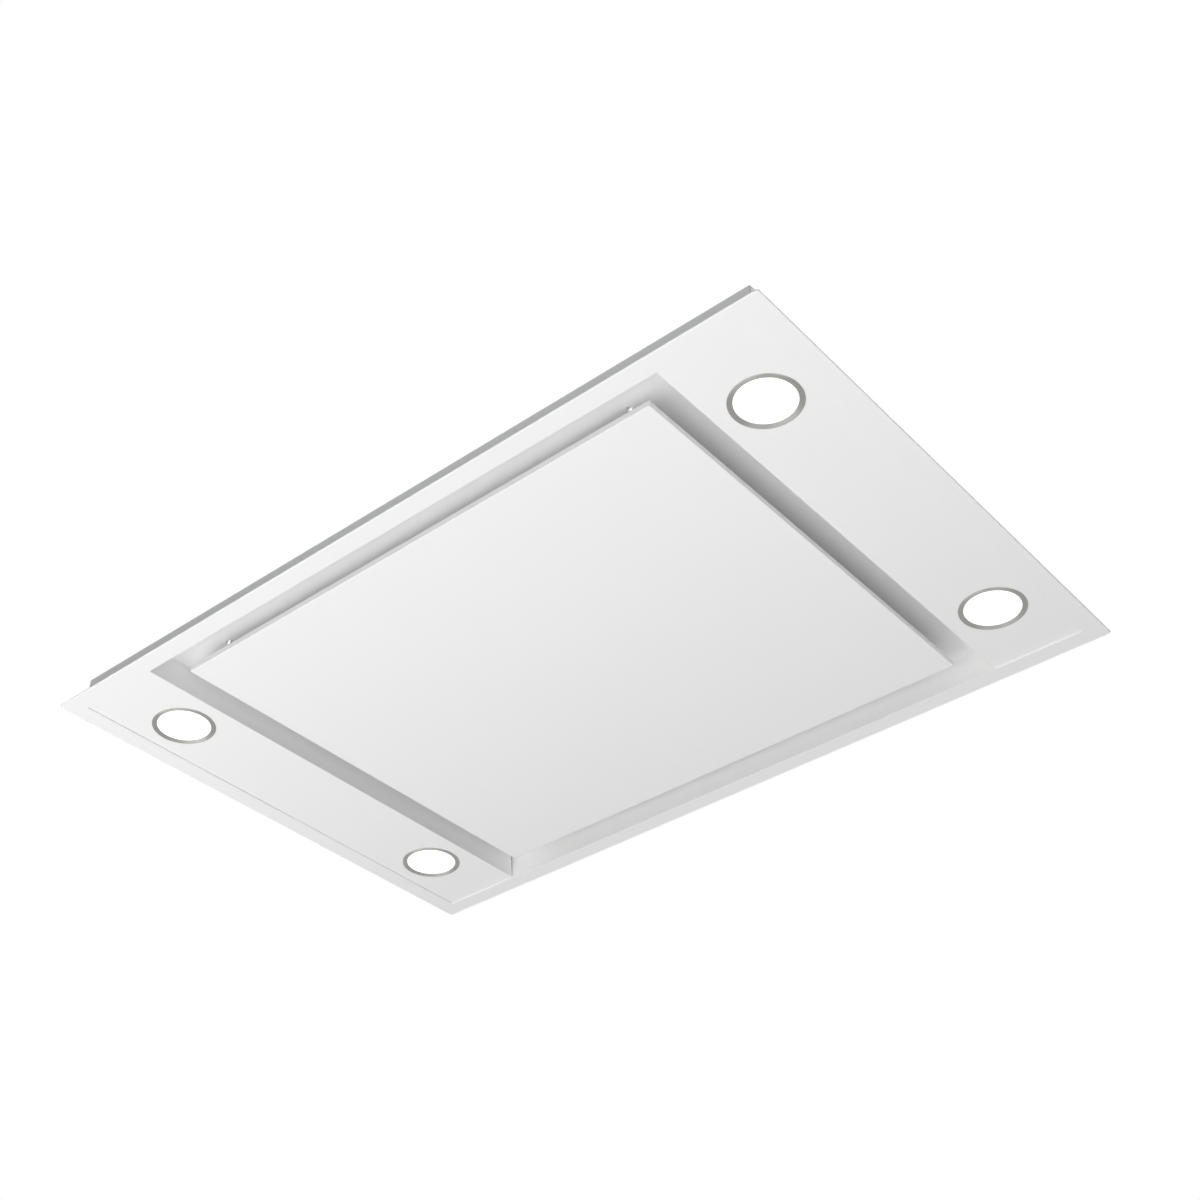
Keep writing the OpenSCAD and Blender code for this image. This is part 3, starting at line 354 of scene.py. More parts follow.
# Casing: the shallow box behind the border, folded from 0.8 mm galvanised sheet. Its near wall
# shows above the border as a pale grey band. Its top sheet has the opening for the filters.
def zinc_group():
    """Zinc coat: crystals of different grey as cells, mixed with broad cloudy stains, and a small
    relief."""
    tree, given, made = node_group("zinc_coat", {"Scale": 90.0}, ("Height", "Shade"))
    cells = pattern(tree, "ShaderNodeTexVoronoi", given.outputs["Scale"], "Color", Randomness=1.0)
    split = tree.nodes.new("ShaderNodeSeparateColor")
    tree.links.new(cells, split.inputs["Color"])
    clouds = pattern(tree, "ShaderNodeTexNoise", 9.0, Detail=4.0)
    mix = tree.nodes.new("ShaderNodeMix")
    mix.inputs["Factor"].default_value = 0.6
    tree.links.new(split.outputs["Red"], mix.inputs["A"])
    tree.links.new(clouds, mix.inputs["B"])
    tree.links.new(mix.outputs["Result"], made.inputs["Shade"])
    tree.links.new(pattern(tree, "ShaderNodeTexNoise", 700.0, Detail=2.0), made.inputs["Height"])
    return tree


def softened(name, node, finish, edge, folds=(), steps=2):
    """Copy of a CAD node whose equal points are merged and flat faces joined. A Bevel rounds
    every side that turns more than about 30 degrees by edge in millimetres, and the sides on a
    fold by the fold's own radius. A fold is (axis, level, axis, level, radius), its levels the
    distances from the middle. The copy stands for the node."""
    flat_turn, sharp_turn, on_fold = 0.005, 0.52, 0.02
    mesh = frame["nodes"][node].data.copy()
    mesh.name = name
    work = bmesh.new()
    work.from_mesh(mesh)
    bmesh.ops.remove_doubles(work, verts=work.verts, dist=same_point)
    bmesh.ops.dissolve_limit(work, angle_limit=flat_turn, verts=work.verts, edges=work.edges)
    widest = max([edge] + [fold[-1] for fold in folds])
    weights = work.edges.layers.float.new("bevel_weight_edge")
    for side in work.edges:
        side[weights] = edge / widest if side.calc_face_angle(0) > sharp_turn else 0
        ends = np.array([v.co for v in side.verts]) * 1000
        for axis, level, other, height, radius in folds:
            if np.abs(np.abs(ends[:, (axis, other)]) - (level, height)).max() < on_fold:
                side[weights] = radius / widest
    work.to_mesh(mesh)
    work.free()
    mesh.shade_smooth()
    mesh.materials.clear()
    made = placed(name, mesh, finish, frame["nodes"][node]["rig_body"], [node])
    bevel = made.modifiers.new("edges", "BEVEL")
    bevel.width = widest / 1000
    bevel.segments = steps
    bevel.limit_method = "WEIGHT"
    bevel.use_clamp_overlap = True
    made.modifiers.new("flat_faces", "WEIGHTED_NORMAL").keep_sharp = True
    return made


zinc_coat = zinc_group()
galvanised = coat("galvanised_sheet", (0.46, 0.465, 0.47), (0.64, 0.645, 0.65), (0.42, 0.55),
                  zinc_coat, Scale=95.0, bump=0.00001, metallic=0.55)
plain_zinc = coat("casing_zinc", (0.485, 0.49, 0.495), (0.52, 0.525, 0.53), (0.5, 0.58),
                  zinc_coat, Scale=140.0, bump=0.000006, metallic=0.35)
softened("casing_sheet", "lower_casing", plain_zinc, edge=0.25)


# Recess ceiling: a flat white coated sheet under the casing's top, with two openings for the
# grease filters. The screws of the motor housing go through it.
softened("recess_ceiling", "filter_deck", white_paint, edge=0.25)


# Lamp shelves: white coated sheets at the left and right, 1.6 mm above the border's face. Each is
# folded up at the recess, and carries two lamps in round holes. The folded wall is cut back at its
# ends, so that it can be bent, which leaves a thin dark wedge in each corner.
def cut_back(made, half_x, low, half_y, amount, drop):
    """Moves the ends of a folded wall inwards: the points out to half_x, above low and beyond
    half_y lose that amount of Y. The sheet below low comes down by the drop."""
    points = np.zeros(len(made.data.vertices) * 3)
    made.data.vertices.foreach_get("co", points)
    x, y, z = points.reshape(-1, 3).T * 1000
    at_end = (np.abs(x) < half_x) & (z > low) & (np.abs(y) > half_y)
    y = y - np.sign(y) * amount * at_end
    z = z - drop * (z < low)
    made.data.vertices.foreach_set("co", (np.column_stack([x, y, z]) / 1000).ravel())


shelf_low, shelf_high = box("lamp_shelf_right")
shelf_drop, wall_cut = 1.4, 2.6
shelf_folds = [(X, shelf_low[X], Z, shelf_low[Z], 0.9), (X, shelf_high[X], Z, shelf_low[Z], 0.3)]
for side in ("left", "right"):
    shelf = softened(f"lamp_shelf_{side}_sheet", f"lamp_shelf_{side}", white_paint,
                     edge=0.15, folds=shelf_folds, steps=3)
    cut_back(shelf, shelf_low[X] + 1.2, shelf_low[Z] + 2, shelf_high[Y] - 1, wall_cut, shelf_drop)


# Lamp rings: turned steel, brushed on the lathe, so that light gathers on them in cones.
# The face is dished by 12 degrees towards the lens, and a neck passes through the shelf.
def revolved(profile, centre, sides=96, axis=Z, closed=False):
    """Profile of (radius, height) turned round an axis: the radius times the cosine and sine of
    an even turn, and the height along the axis. A closed profile's last point meets its first."""
    turn = np.linspace(0, 2 * np.pi, sides, endpoint=False)
    r, z = np.asarray(profile, float).T[:, :, None]
    round_points = np.stack([r * np.cos(turn), r * np.sin(turn), z + 0 * turn], -1)
    order = {Z: [0, 1, 2], Y: [1, 2, 0], X: [2, 0, 1]}[axis]
    return grid(round_points[:, :, order] + np.asarray(centre, float), wrap_rows=closed)


def turned_metal(name, dark, light, rough):
    """Metal with lathe marks: noise over the piece's own UV map, stretched round the turning, as
    colour and roughness, with the highlight drawn out along the turning by the map's tangent."""
    made = bpy.data.materials.new(name)
    made.use_nodes = True
    tree = made.node_tree
    shader = tree.nodes["Principled BSDF"]
    shader.inputs["Metallic"].default_value = 1.0
    shader.inputs["Anisotropic"].default_value = 0.9
    shader.inputs["Anisotropic Rotation"].default_value = 0.25
    place = tree.nodes.new("ShaderNodeUVMap")
    place.uv_map = "turning"
    spread = tree.nodes.new("ShaderNodeMapping")
    spread.inputs["Scale"].default_value = (6, 90, 1)
    marks = tree.nodes.new("ShaderNodeTexNoise")
    marks.inputs["Scale"].default_value = 4.0
    marks.inputs["Detail"].default_value = 3.0
    tree.links.new(place.outputs["UV"], spread.inputs["Vector"])
    tree.links.new(spread.outputs["Vector"], marks.inputs["Vector"])
    toned(tree, marks.outputs["Fac"], dark, light, rough)
    along = tree.nodes.new("ShaderNodeTangent")
    along.direction_type = "UV_MAP"
    along.uv_map = "turning"
    tree.links.new(along.outputs["Tangent"], shader.inputs["Tangent"])
    return made


def unrolled(made, centre):
    """UV map of a turned piece: the angle round its centre across, and the distance from its
    axis, in millimetres over 40, upwards. The angle never wraps inside a face."""
    mesh = made.data
    corners = np.zeros(len(mesh.loops), int)
    mesh.loops.foreach_get("vertex_index", corners)
    points = np.zeros(len(mesh.vertices) * 3)
    mesh.vertices.foreach_get("co", points)
    x, y = (points.reshape(-1, 3)[corners, :2] * 1000 - centre).T
    turn = np.arctan2(y, x) / (2 * np.pi)
    starts = np.zeros(len(mesh.polygons), int)
    mesh.polygons.foreach_get("loop_start", starts)
    sizes = np.diff(np.append(starts, len(corners)))
    first = np.repeat(turn[starts], sizes)
    turn -= np.round(turn - first)
    across = np.column_stack([turn, np.hypot(x, y) / 40])
    mesh.uv_layers.new(name="turning").data.foreach_set("uv", across.astype(np.float32).ravel())


brushed_steel = turned_metal("lathe_brushed", (0.36, 0.354, 0.342), (0.52, 0.513, 0.498),
                             (0.42, 0.52))
lamp_x, lamp_y = box("lamp_ring_4").mean(0)[:2]
lamp_places = [(x, y, 0) for y in (-lamp_y, lamp_y) for x in (-lamp_x, lamp_x)]
rim_radius, neck_radius, bore_radius, lip_radius = 33.75, 30.5, 29.5, 28.5
ring_low, lip_centre_z, seat_z, neck_top = 0.6, 1.738, 1.9, 9.0
lip_bend, rim_bend, dish_angle = 0.2, 0.6, 12
shelf_z = shelf_low[Z] - shelf_drop
ring_profile = np.concatenate([
    [[lip_radius, seat_z]],
    arc((lip_radius + lip_bend, lip_centre_z), lip_bend, 180, 270 - dish_angle, 3),
    arc((rim_radius - rim_bend, ring_low + rim_bend), rim_bend, 270 - dish_angle, 360),
    [[rim_radius, shelf_z], [neck_radius, shelf_z], [neck_radius, neck_top],
     [bore_radius, neck_top], [bore_radius, seat_z]]])
for number, place in enumerate(lamp_places, 1):
    turned = revolved(ring_profile, place, sides=128, closed=True)
    lamp_ring = piece(f"lamp_ring_{number}_turned", turned, brushed_steel, "casing",
                      [f"lamp_ring_{number}"], sharp=25)
    unrolled(lamp_ring, place[:2])


# Lamp lenses: opal acrylic discs with a slight crown, lit from behind by warm white diodes.
# Each lies on its ring's lip.
opal = coat("opal_lens", (0.93, 0.925, 0.91), (0.95, 0.945, 0.93), (0.3, 0.4), fine_grain,
            Scale=2500.0, Blotch=30.0, bump=0.000004,
            constants={"Emission Color": (1.0, 0.985, 0.95, 1), "Emission Strength": 0.5,
                       "Subsurface Weight": 0.2, "Subsurface Scale": 0.002})
lens_radii = np.array([0, 6, 12, 17, 21, 24, 26.5, 28, 28.5, 29.3])
crown, crown_radius, lens_back = 0.45, 28.3, 3.9
lens_z = seat_z - crown * np.clip(1 - (lens_radii / crown_radius) ** 2, 0, 1)
lens_profile = np.concatenate([
    np.column_stack([lens_radii, lens_z]), [[lens_radii[-1], lens_back], [0, lens_back]]])
for number, place in enumerate(lamp_places, 1):
    piece(f"lamp_lens_{number}_opal", revolved(lens_profile, place), opal, "casing",
          [f"lamp_lens_{number}"])


# Heat sinks of the lamps: die-cast aluminium, left as cast, with straight fins. Two spring
# steel clips on each pull the lamp up against its shelf.
cast_aluminium = coat("cast_aluminium", (0.5, 0.505, 0.51), (0.64, 0.645, 0.65), (0.45, 0.62),
                      fine_grain, Scale=800.0, Blotch=60.0, bump=0.00004, metallic=0.85)
spring_steel = coat("spring_steel", (0.38, 0.38, 0.385), (0.52, 0.52, 0.525), (0.25, 0.36),
                    fine_grain, Scale=400.0, Blotch=120.0, bump=0.000004, metallic=1.0)
for number in range(1, 5):
    softened(f"heat_sink_{number}", f"lamp_body_{number}", cast_aluminium,
             edge=0.35)
softened("lamp_springs", "lamp_clips", spring_steel, edge=0.15)


# Catch posts: white moulded pins that hang from the recess ceiling, with a groove above the tip
# that the panel's clips spring into. A polished steel cup washer holds each one's foot.
white_plastic = coat("white_plastic", (0.82, 0.82, 0.81), (0.86, 0.86, 0.85), (0.4, 0.5),
                     fine_grain, Scale=1200.0, Blotch=40.0, bump=0.000008,
                     constants={"Subsurface Weight": 0.1, "Subsurface Scale": 0.001})
polished_steel = coat("polished_washer", (0.93, 0.93, 0.925), (0.95, 0.95, 0.945), (0.12, 0.2),
                      fine_grain, Scale=600.0, Blotch=90.0, bump=0.000002, metallic=1.0)
rail_x, post_y = box("panel_rail_right").mean(0)[X], box("catch_post_right").mean(0)[Y]
ceiling_z = box("filter_deck")[0, Z]
post_low, post_radius, groove_radius = 11.5, 2, 1.0
tip_bend, foot_bend, foot_radius, foot_z = 1.1, 1.2, 3.4, 30.6
post_profile = np.concatenate([
    [[0, post_low]], arc((post_radius - tip_bend, post_low + tip_bend), tip_bend, 270, 350),
    [[post_radius, 13.3], [groove_radius, 14.5], [groove_radius, 15.5], [post_radius, 16.6],
     [post_radius, foot_z]], arc((post_radius + foot_bend, foot_z), foot_bend, 180, 100, 4),
    [[foot_radius, ceiling_z], [0, ceiling_z]]])
cup_bore, cup_radius = 2.05, 4.6
cup_profile = [[cup_bore, 29.9], [2.3, 29.7], [2.6, 29.8], [cup_radius, 32.4],
               [cup_radius, ceiling_z], [cup_bore, ceiling_z]]
for side, way in (("left", -1), ("right", 1)):
    place = (way * rail_x, post_y, 0)
    piece(f"catch_post_{side}_pin", revolved(post_profile, place, sides=32), white_plastic,
          "casing", [f"catch_post_{side}"])
    piece(f"catch_cup_{side}", revolved(cup_profile, place, sides=32, closed=True), polished_steel,
          "casing")


# Suction panel: a pan of white coated sheet, 600 by 500 mm, that drops on its hinges so that
# the filters come out. Its edge is folded up with a tight radius and turned back inwards.
panel_x, panel_y, panel_top = box("suction_panel")[1]
panel_low = box("suction_panel")[0, Z]
low_bend, top_bend, inner_bend, return_width, flat_inset = 0.4, 1.2, 0.3, 8, 70
inner = sheet + inner_bend
panel_profile = np.concatenate([
    [[flat_inset, panel_low]], arc((low_bend, panel_low + low_bend), low_bend, 270, 180),
    arc((top_bend, panel_top - top_bend), top_bend, 180, 90),
    [[return_width, panel_top], [return_width, panel_top - sheet]],
    arc((inner, panel_top - inner), inner_bend, 90, 180, 3),
    arc((inner, panel_low + inner), inner_bend, 180, 270, 3), [[flat_inset, panel_low + sheet]]])
pan = pressed(panel_profile, panel_x, panel_y, corner=2, least=0.6, caps=True)
piece("panel_pan", pan, white_paint, "panel", ["suction_panel"])


# Panel rails: two hat-shaped strips of galvanised sheet, spot-welded inside the pan from its near
# edge to its far edge. They stiffen it and carry the catch clips and the hinge ears.
rail_low, rail_top = box("panel_rail_right")[:, Z]
rail_folds = [(X, rail_x + way * half, Z, level, radius) for way in (-1, 1)
              for half, level, radius in ((12, rail_top, 1.4), (11, rail_top - sheet, 0.4),
                                          (11, rail_low, 1.2), (12, rail_low + sheet, 0.3))]
for side in ("left", "right"):
    softened(f"panel_rail_{side}_hat", f"panel_rail_{side}", galvanised, edge=0.2,
             folds=rail_folds, steps=3)


# Hinges: pressed zinc-plated steel. A bracket with two cheeks is screwed under the recess
# ceiling, and an ear with a bore stands on each rail and swings on a headed pin between them.
zinc_steel = coat("zinc_steel", (0.5, 0.5, 0.49), (0.64, 0.64, 0.62), (0.3, 0.42), fine_grain,
                  Scale=900.0, Blotch=90.0, bump=0.000006, metallic=1.0)
for side in ("left", "right"):
    softened(f"hinge_ear_{side}_pressed", f"hinge_ear_{side}", zinc_steel, edge=0.35)
    softened(f"hinge_bracket_{side}_pressed", f"hinge_bracket_{side}", zinc_steel,
             edge=0.3)


def filleted(corners, radius, steps=3, closed=True):
    """Path whose right-angled corners are quarter circles: the corner, plus the radius times
    b - a + a sin t - b cos t, with the unit directions a before and b after it, t from 0 to 90."""
    at = np.asarray(corners, float)
    a, b = at - np.roll(at, 1, 0), np.roll(at, -1, 0) - at
    a = (a / np.linalg.norm(a, axis=1)[:, None])[:, None]
    b = (b / np.linalg.norm(b, axis=1)[:, None])[:, None]
    r = np.broadcast_to(radius, len(at))[:, None, None]
    t = np.radians(np.linspace(0, 90, steps + 1))[:, None]
    turned = at[:, None] + r * (b - a + a * np.sin(t) - b * np.cos(t))
    if closed:
        return turned.reshape(-1, at.shape[1])
    return np.concatenate([at[:1], turned[1:-1].reshape(-1, at.shape[1]), at[-1:]])


hinge_y, hinge_z = box("hinge_pins").mean(0)[1:]
pin_radius, head_radius, pin_end, head_thick = 3.0, 4.5, 9.5, 1.5
pin_half = [[0, -pin_end], [head_radius, -pin_end], [head_radius, head_thick - pin_end],
            [pin_radius, head_thick - pin_end]]
pin_profile = filleted(pin_half + [[r, -z] for r, z in pin_half[::-1]],
                       [0, 0.4, 0.3, 0, 0, 0.3, 0.4, 0])
piece("hinge_pins_headed", joined([
    revolved(pin_profile, (x, hinge_y, hinge_z), sides=32, axis=X) for x in (-rail_x, rail_x)]),
    zinc_steel, "casing", ["hinge_pins"])


# Catch clips: grey moulded cups with a slit, riveted on the rails. Their two jaws spring over
# the tips of the catch posts and hold the panel shut.
grey_plastic = coat("grey_plastic", (0.1, 0.102, 0.105), (0.13, 0.132, 0.135), (0.4, 0.52),
                    fine_grain, Scale=1500.0, Blotch=30.0, bump=0.00001)
for side in ("left", "right"):
    softened(f"catch_clip_{side}_moulded", f"catch_clip_{side}", grey_plastic,
             edge=0.25)


# Grease filters: frames of thin aluminium channel, mitred and riveted at the corners. Two tabs
# hook over the ceiling's far lip, and the wide near rail carries the latch.
filter_aluminium = coat("filter_aluminium", (0.66, 0.665, 0.67), (0.78, 0.785, 0.79),
                        (0.3, 0.42), fine_grain, Scale=700.0, Blotch=50.0, bump=0.000008,
                        metallic=1.0)
filter_x = box("filter_frame_right").mean(0)[X]
rivet_x, rivet_places_y = 127.5, (-121.5, -110.0, 123.0)
rivet_low, rivet_flat, rivet_bend, rivet_radius, rivet_top = 32.45, 0.6, 1.3, 2.3, 33.4
rivet_profile = np.concatenate([
    [[0, rivet_low]], arc((rivet_flat, rivet_low + rivet_bend), rivet_bend, 270, 335, 4),
    [[rivet_radius, 33.15], [rivet_radius, rivet_top], [0, rivet_top]]])
for side, way in (("left", -1), ("right", 1)):
    softened(f"filter_frame_{side}_channel", f"filter_frame_{side}", filter_aluminium,
             edge=0.3)
    piece(f"filter_rivets_{side}", joined([
        revolved(rivet_profile, (way * filter_x + x, y, 0), sides=20)
        for x in (-rivet_x, rivet_x) for y in rivet_places_y]),
        filter_aluminium, "casing")


# Filter mesh: three layers of expanded aluminium foil, the middle one turned a quarter, that
# catch the grease. Each layer is one foil, slit and pulled open into lozenges.
def tubes(points):
    """Capped tubes, tubes x rows x columns x 3: faces between neighbours round and along each
    tube, and one flat face at each end."""
    count, rows, columns = points.shape[:3]
    start = (np.arange(count) * rows * columns)[:, None, None]
    along, round_it = np.arange(rows - 1)[:, None] * columns, np.arange(columns)
    near, far = start + along + round_it, start + along + (round_it + 1) % columns
    sides = np.stack([near, far, far + columns, near + columns], -1).reshape(-1, 4)
    first = start[:, 0] + round_it[::-1]
    last = start[:, 0] + (rows - 1) * columns + round_it
    return points.reshape(-1, 3), sides.tolist() + np.concatenate([first, last]).tolist()


def foil(low, high, lozenge, opening, level, turned=False):
    """Expanded foil between two corners: strand j runs along X at (j + 1/2) openings, plus or
    minus nearly half an opening as a trapezium wave of the lozenge's length, so that neighbours
    meet at its flats. Each strand is a ribbon, tilted by 28 degrees and 1.1 by 0.4 mm."""
    half_width, half_thick, tilt, overlap, margin = 0.55, 0.2, np.radians(28), 0.25, 2
    low, high = (np.array(v, float)[::-1 if turned else 1] for v in (low, high))
    strands = int((high[1] - low[1]) / opening)
    periods = int((high[0] - low[0] - margin) / lozenge)
    x = (np.arange(periods)[:, None] + [0.1, 0.4, 0.6, 0.9]).ravel() * lozenge
    wave = np.tile([1.0, -1.0, -1.0, 1.0], periods)
    j = np.arange(strands)[:, None]
    swing = (opening / 2 - overlap) * wave * np.where(j % 2, -1, 1)
    y = low[1] + (j + 0.5) * opening + swing
    across = np.array([[-1, -1], [1, -1], [1, 1], [-1, 1]]) * (half_width, half_thick)
    dy = across[:, 0] * np.cos(tilt) - across[:, 1] * np.sin(tilt)
    dz = across[:, 0] * np.sin(tilt) + across[:, 1] * np.cos(tilt)
    centred = (high[0] + low[0] - periods * lozenge) / 2
    points = np.stack(np.broadcast_arrays(
        (centred + x)[:, None], y[:, :, None] + dy, level + dz), -1)
    return tubes(points[..., [1, 0, 2]] if turned else points)


mesh_half, mesh_near, mesh_far = 132.5, -103.7, 128.2
layers = [{"lozenge": 12.0, "opening": 3.0, "level": 35.2},
          {"lozenge": 16.0, "opening": 4.0, "level": 37.4, "turned": True},
          {"lozenge": 12.0, "opening": 3.0, "level": 39.8}]
for side, way in (("left", -1), ("right", 1)):
    low = (way * filter_x - mesh_half, mesh_near)
    high = (way * filter_x + mesh_half, mesh_far)
    piece(f"filter_mesh_{side}_foils", joined([foil(low, high, **layer) for layer in layers]),
          filter_aluminium, "casing", [f"filter_mesh_{side}"], sharp=50)


# Filter latches: grey moulded slides inside the near rails. The cook pulls the thumb piece, and
# the tongue leaves the ceiling's lip.
for side in ("left", "right"):
    softened(f"filter_latch_{side}_slide", f"filter_latch_{side}", grey_plastic,
             edge=0.45, steps=3)


# Motor housing: an open-bottomed box of 1 mm galvanised sheet, folded and spot-welded, with
# screw flanges at its left and right. Long beads are pressed into its top and near wall.
def bead(centre, half_length, half_width, lift, order):
    """Pressed bead: rounded rectangles that narrow as they rise, their inset growing as the
    square of the rise. The order of the axes lays its length, width and lift in space."""
    rise = np.linspace(-0.4, 1, 7)
    inset = 0.75 * half_width * np.clip(rise, 0, 1) ** 2
    radius = half_width - inset - 0.01
    shape = rings(half_length - inset, half_width - inset, radius, rise * lift)
    points, faces = grid(shape, caps=True)
    return points[:, order] + np.asarray(centre, float), faces


housing_x, housing_bend = 330, 1.6
housing_y, housing_top = box("motor_housing")[1, 1:]
housing_folds = [(X, housing_x, Z, housing_top, housing_bend),
                 (Y, housing_y, Z, housing_top, housing_bend),
                 (X, housing_x, Y, housing_y, housing_bend)]
softened("motor_housing_box", "motor_housing", galvanised, edge=0.25,
         folds=housing_folds, steps=3)
half_width, lift, top_x, top_half, near_z, near_half = 6, 1.2, 175, 128, 118, 55
top_beads = [bead((top_x, y, housing_top), top_half, half_width, lift, [0, 1, 2])
             for y in (-100, -50, 0, 50, 100)]
near_beads = [bead((x, -housing_y, near_z), near_half, half_width, -lift, [1, 2, 0])
              for x in (-240, -80, 80, 240)]
piece("housing_beads", joined(top_beads + near_beads), galvanised, "casing")


# Blower scroll: galvanised sheet, its spiral wall seamed to two flat cheeks. Four posts screw it
# to the housing's top. The inlet ring below it is moulded in black, with a rounded throat.
softened("blower_scroll_seamed", "blower_scroll", galvanised, edge=0.35)
black_plastic = coat("black_plastic", (0.018, 0.018, 0.019), (0.03, 0.03, 0.031), (0.38, 0.5),
                     fine_grain, Scale=1500.0, Blotch=30.0, bump=0.00001)
fan_x, fan_y = box("impeller").mean(0)[:2]
flange_radius, flange_bend, flange_low, flange_high = 96, 0.4, 61.5, 63
throat, throat_inside, throat_outside = (78, 73.5), 10.5, 12
wall_middle = throat[0] - (throat_inside + throat_outside) / 2
wall_half = (throat_outside - throat_inside) / 2
inlet_profile = np.concatenate([
    arc((flange_radius - flange_bend, flange_low + flange_bend), flange_bend, 270, 360, 3),
    arc((flange_radius - flange_bend, flange_high - flange_bend), flange_bend, 0, 90, 3),
    arc(throat, throat_inside, 270, 180, 10), arc((wall_middle, throat[1]), wall_half, 0, 180),
    arc(throat, throat_outside, 180, 270, 10)])
piece("inlet_ring_moulded", revolved(inlet_profile, (fan_x, fan_y, 0), sides=120, closed=True),
      black_plastic, "casing", ["inlet_ring"])


# Impeller: one black moulding of 32 forward-curved blades between a front ring and a back plate,
# which is dished round the motor and has the hub in its middle.
rim_inside, rim_outside, rim_thick, rim_bend = 80, 84, 2, 0.5
rim_low, back_high = box("impeller")[:, Z]
rim_high, back_low = rim_low + rim_thick, back_high - rim_thick
ring_loop = filleted([[rim_inside, rim_low], [rim_outside, rim_low], [rim_outside, rim_high],
                      [rim_inside, rim_high]], rim_bend)
hub_bore, hub_radius, dish_inside, dish_outside = 4, 9, 58, 60
hub_low, plate_low, plate_high, hub_high = 92.5, 97.5, 99.5, 101.5
wheel_loop = filleted(
    [[hub_bore, hub_low], [hub_radius, hub_low], [hub_radius, plate_low],
     [dish_outside, plate_low], [dish_outside, back_low], [rim_outside, back_low],
     [rim_outside, back_high], [dish_inside, back_high], [dish_inside, plate_high],
     [hub_radius, plate_high], [hub_radius, hub_high], [hub_bore, hub_high]],
    [0.4, 0.6, 1.0, 1.5, 2.0, 0.6, 0.6, 2.5, 1.5, 1.0, 0.6, 0.4], steps=4)


def blades(count, root, reach, low, high):
    """Blades round the wheel's axis: the middle line starts at the root radius and turns from 12
    to 58 degrees as it goes out, and the thickness falls to nothing at both ends as the fourth
    root of 1 - (2s - 1) to the 12th, s the share of the length. Blades x levels x loop x 3."""
    half_thick, start, end, steps = 0.6, 12, 58, 8
    share = np.linspace(0, 1, steps + 1)
    course = np.radians(start + (end - start) * share)
    step = np.stack([np.cos(course), np.sin(course)], -1)
    middle = np.concatenate([[[0, 0]], np.cumsum((step[1:] + step[:-1]) / 2, 0) / steps])
    middle = middle * reach + (root, 0)
    half = half_thick * np.clip(1 - (2 * share - 1) ** 12, 0, 1)[:, None] ** 0.25
    normal = np.stack([-step[:, 1], step[:, 0]], -1)
    loop = np.concatenate([(middle + half * normal), (middle - half * normal)[-2:0:-1]])
    turn = np.arange(count)[:, None] * 2 * np.pi / count
    x = loop[:, 0] * np.cos(turn) - loop[:, 1] * np.sin(turn)
    y = loop[:, 0] * np.sin(turn) + loop[:, 1] * np.cos(turn)
    level = np.array([low, high])[:, None]
    return np.stack(np.broadcast_arrays(x[:, None] + fan_x, y[:, None] + fan_y, level), -1)


wheel_parts = [revolved(loop, (fan_x, fan_y, 0), sides=144, closed=True)
               for loop in (ring_loop, wheel_loop)]
wheel_parts.append(tubes(blades(count=32, root=68.0, reach=19.0, low=76.4, high=148.6)))
piece("impeller_moulded", joined(wheel_parts), black_plastic, "wheel",
      ["impeller"])


# Motor: a die-cast case in two halves with a seam band, hung by three arms on rubber bushes
# above the scroll. Its steel shaft carries the impeller.
def rod(low, high, radius, bevel):
    """Profile of a round rod from low to high, with both rims rounded by the bevel."""
    return filleted([[0, low], [radius, low], [radius, high], [0, high]], [0, bevel, bevel, 0])


rubber = coat("rubber_bush", (0.012, 0.012, 0.012), (0.022, 0.022, 0.022), (0.6, 0.75),
              fine_grain, Scale=1800.0, Blotch=60.0, bump=0.00001)
softened("motor_case", "motor", cast_aluminium, edge=0.7, steps=3)
softened("motor_bushes_rubber", "motor_bushes", rubber, edge=0.6, steps=3)
shaft = rod(*box("motor_shaft")[:, Z], radius=4, bevel=0.5)
piece("motor_shaft_turned", revolved(shaft, (fan_x, fan_y, 0), sides=40), zinc_steel, "wheel",
      ["motor_shaft"])


# Duct collar: moulded in black, a flat base screwed to the housing's far wall and a round spigot
# with a bead that the duct clamps over. A stop ring inside it halts the flaps.
duct_z = box("outlet_collar").mean(0)[Z]
base_x, base_z = box("outlet_collar")[1, X], box("outlet_collar")[1, Z] - duct_z


def collar_base(half_x, half_z, hole, low, high, soft):
    """Flat plate in X and Z with a round hole: its outer edge is the superellipse of power 24 of
    the half sizes, at 144 even angles, and soft is the radius of its rounded rims."""
    turn = np.linspace(0, 2 * np.pi, 144, endpoint=False)
    across, upwards = np.abs(np.cos(turn)) / half_x, np.abs(np.sin(turn)) / half_z
    edge = (across ** 24 + upwards ** 24) ** (-1 / 24)
    rim = arc((0, 0), soft, -90, 0, 3)
    inset = np.concatenate([rim[:, 0], rim[::-1, 0]]) - soft
    y = np.concatenate([[low], rim[:, 1] + low + soft, high - soft - rim[::-1, 1], [high]])
    bore = [0 * edge + hole]
    radius = np.concatenate([bore, edge + inset[:, None], bore])
    y = y[:, None] + 0 * radius
    return np.stack([radius * np.cos(turn), y, radius * np.sin(turn) + duct_z], -1)


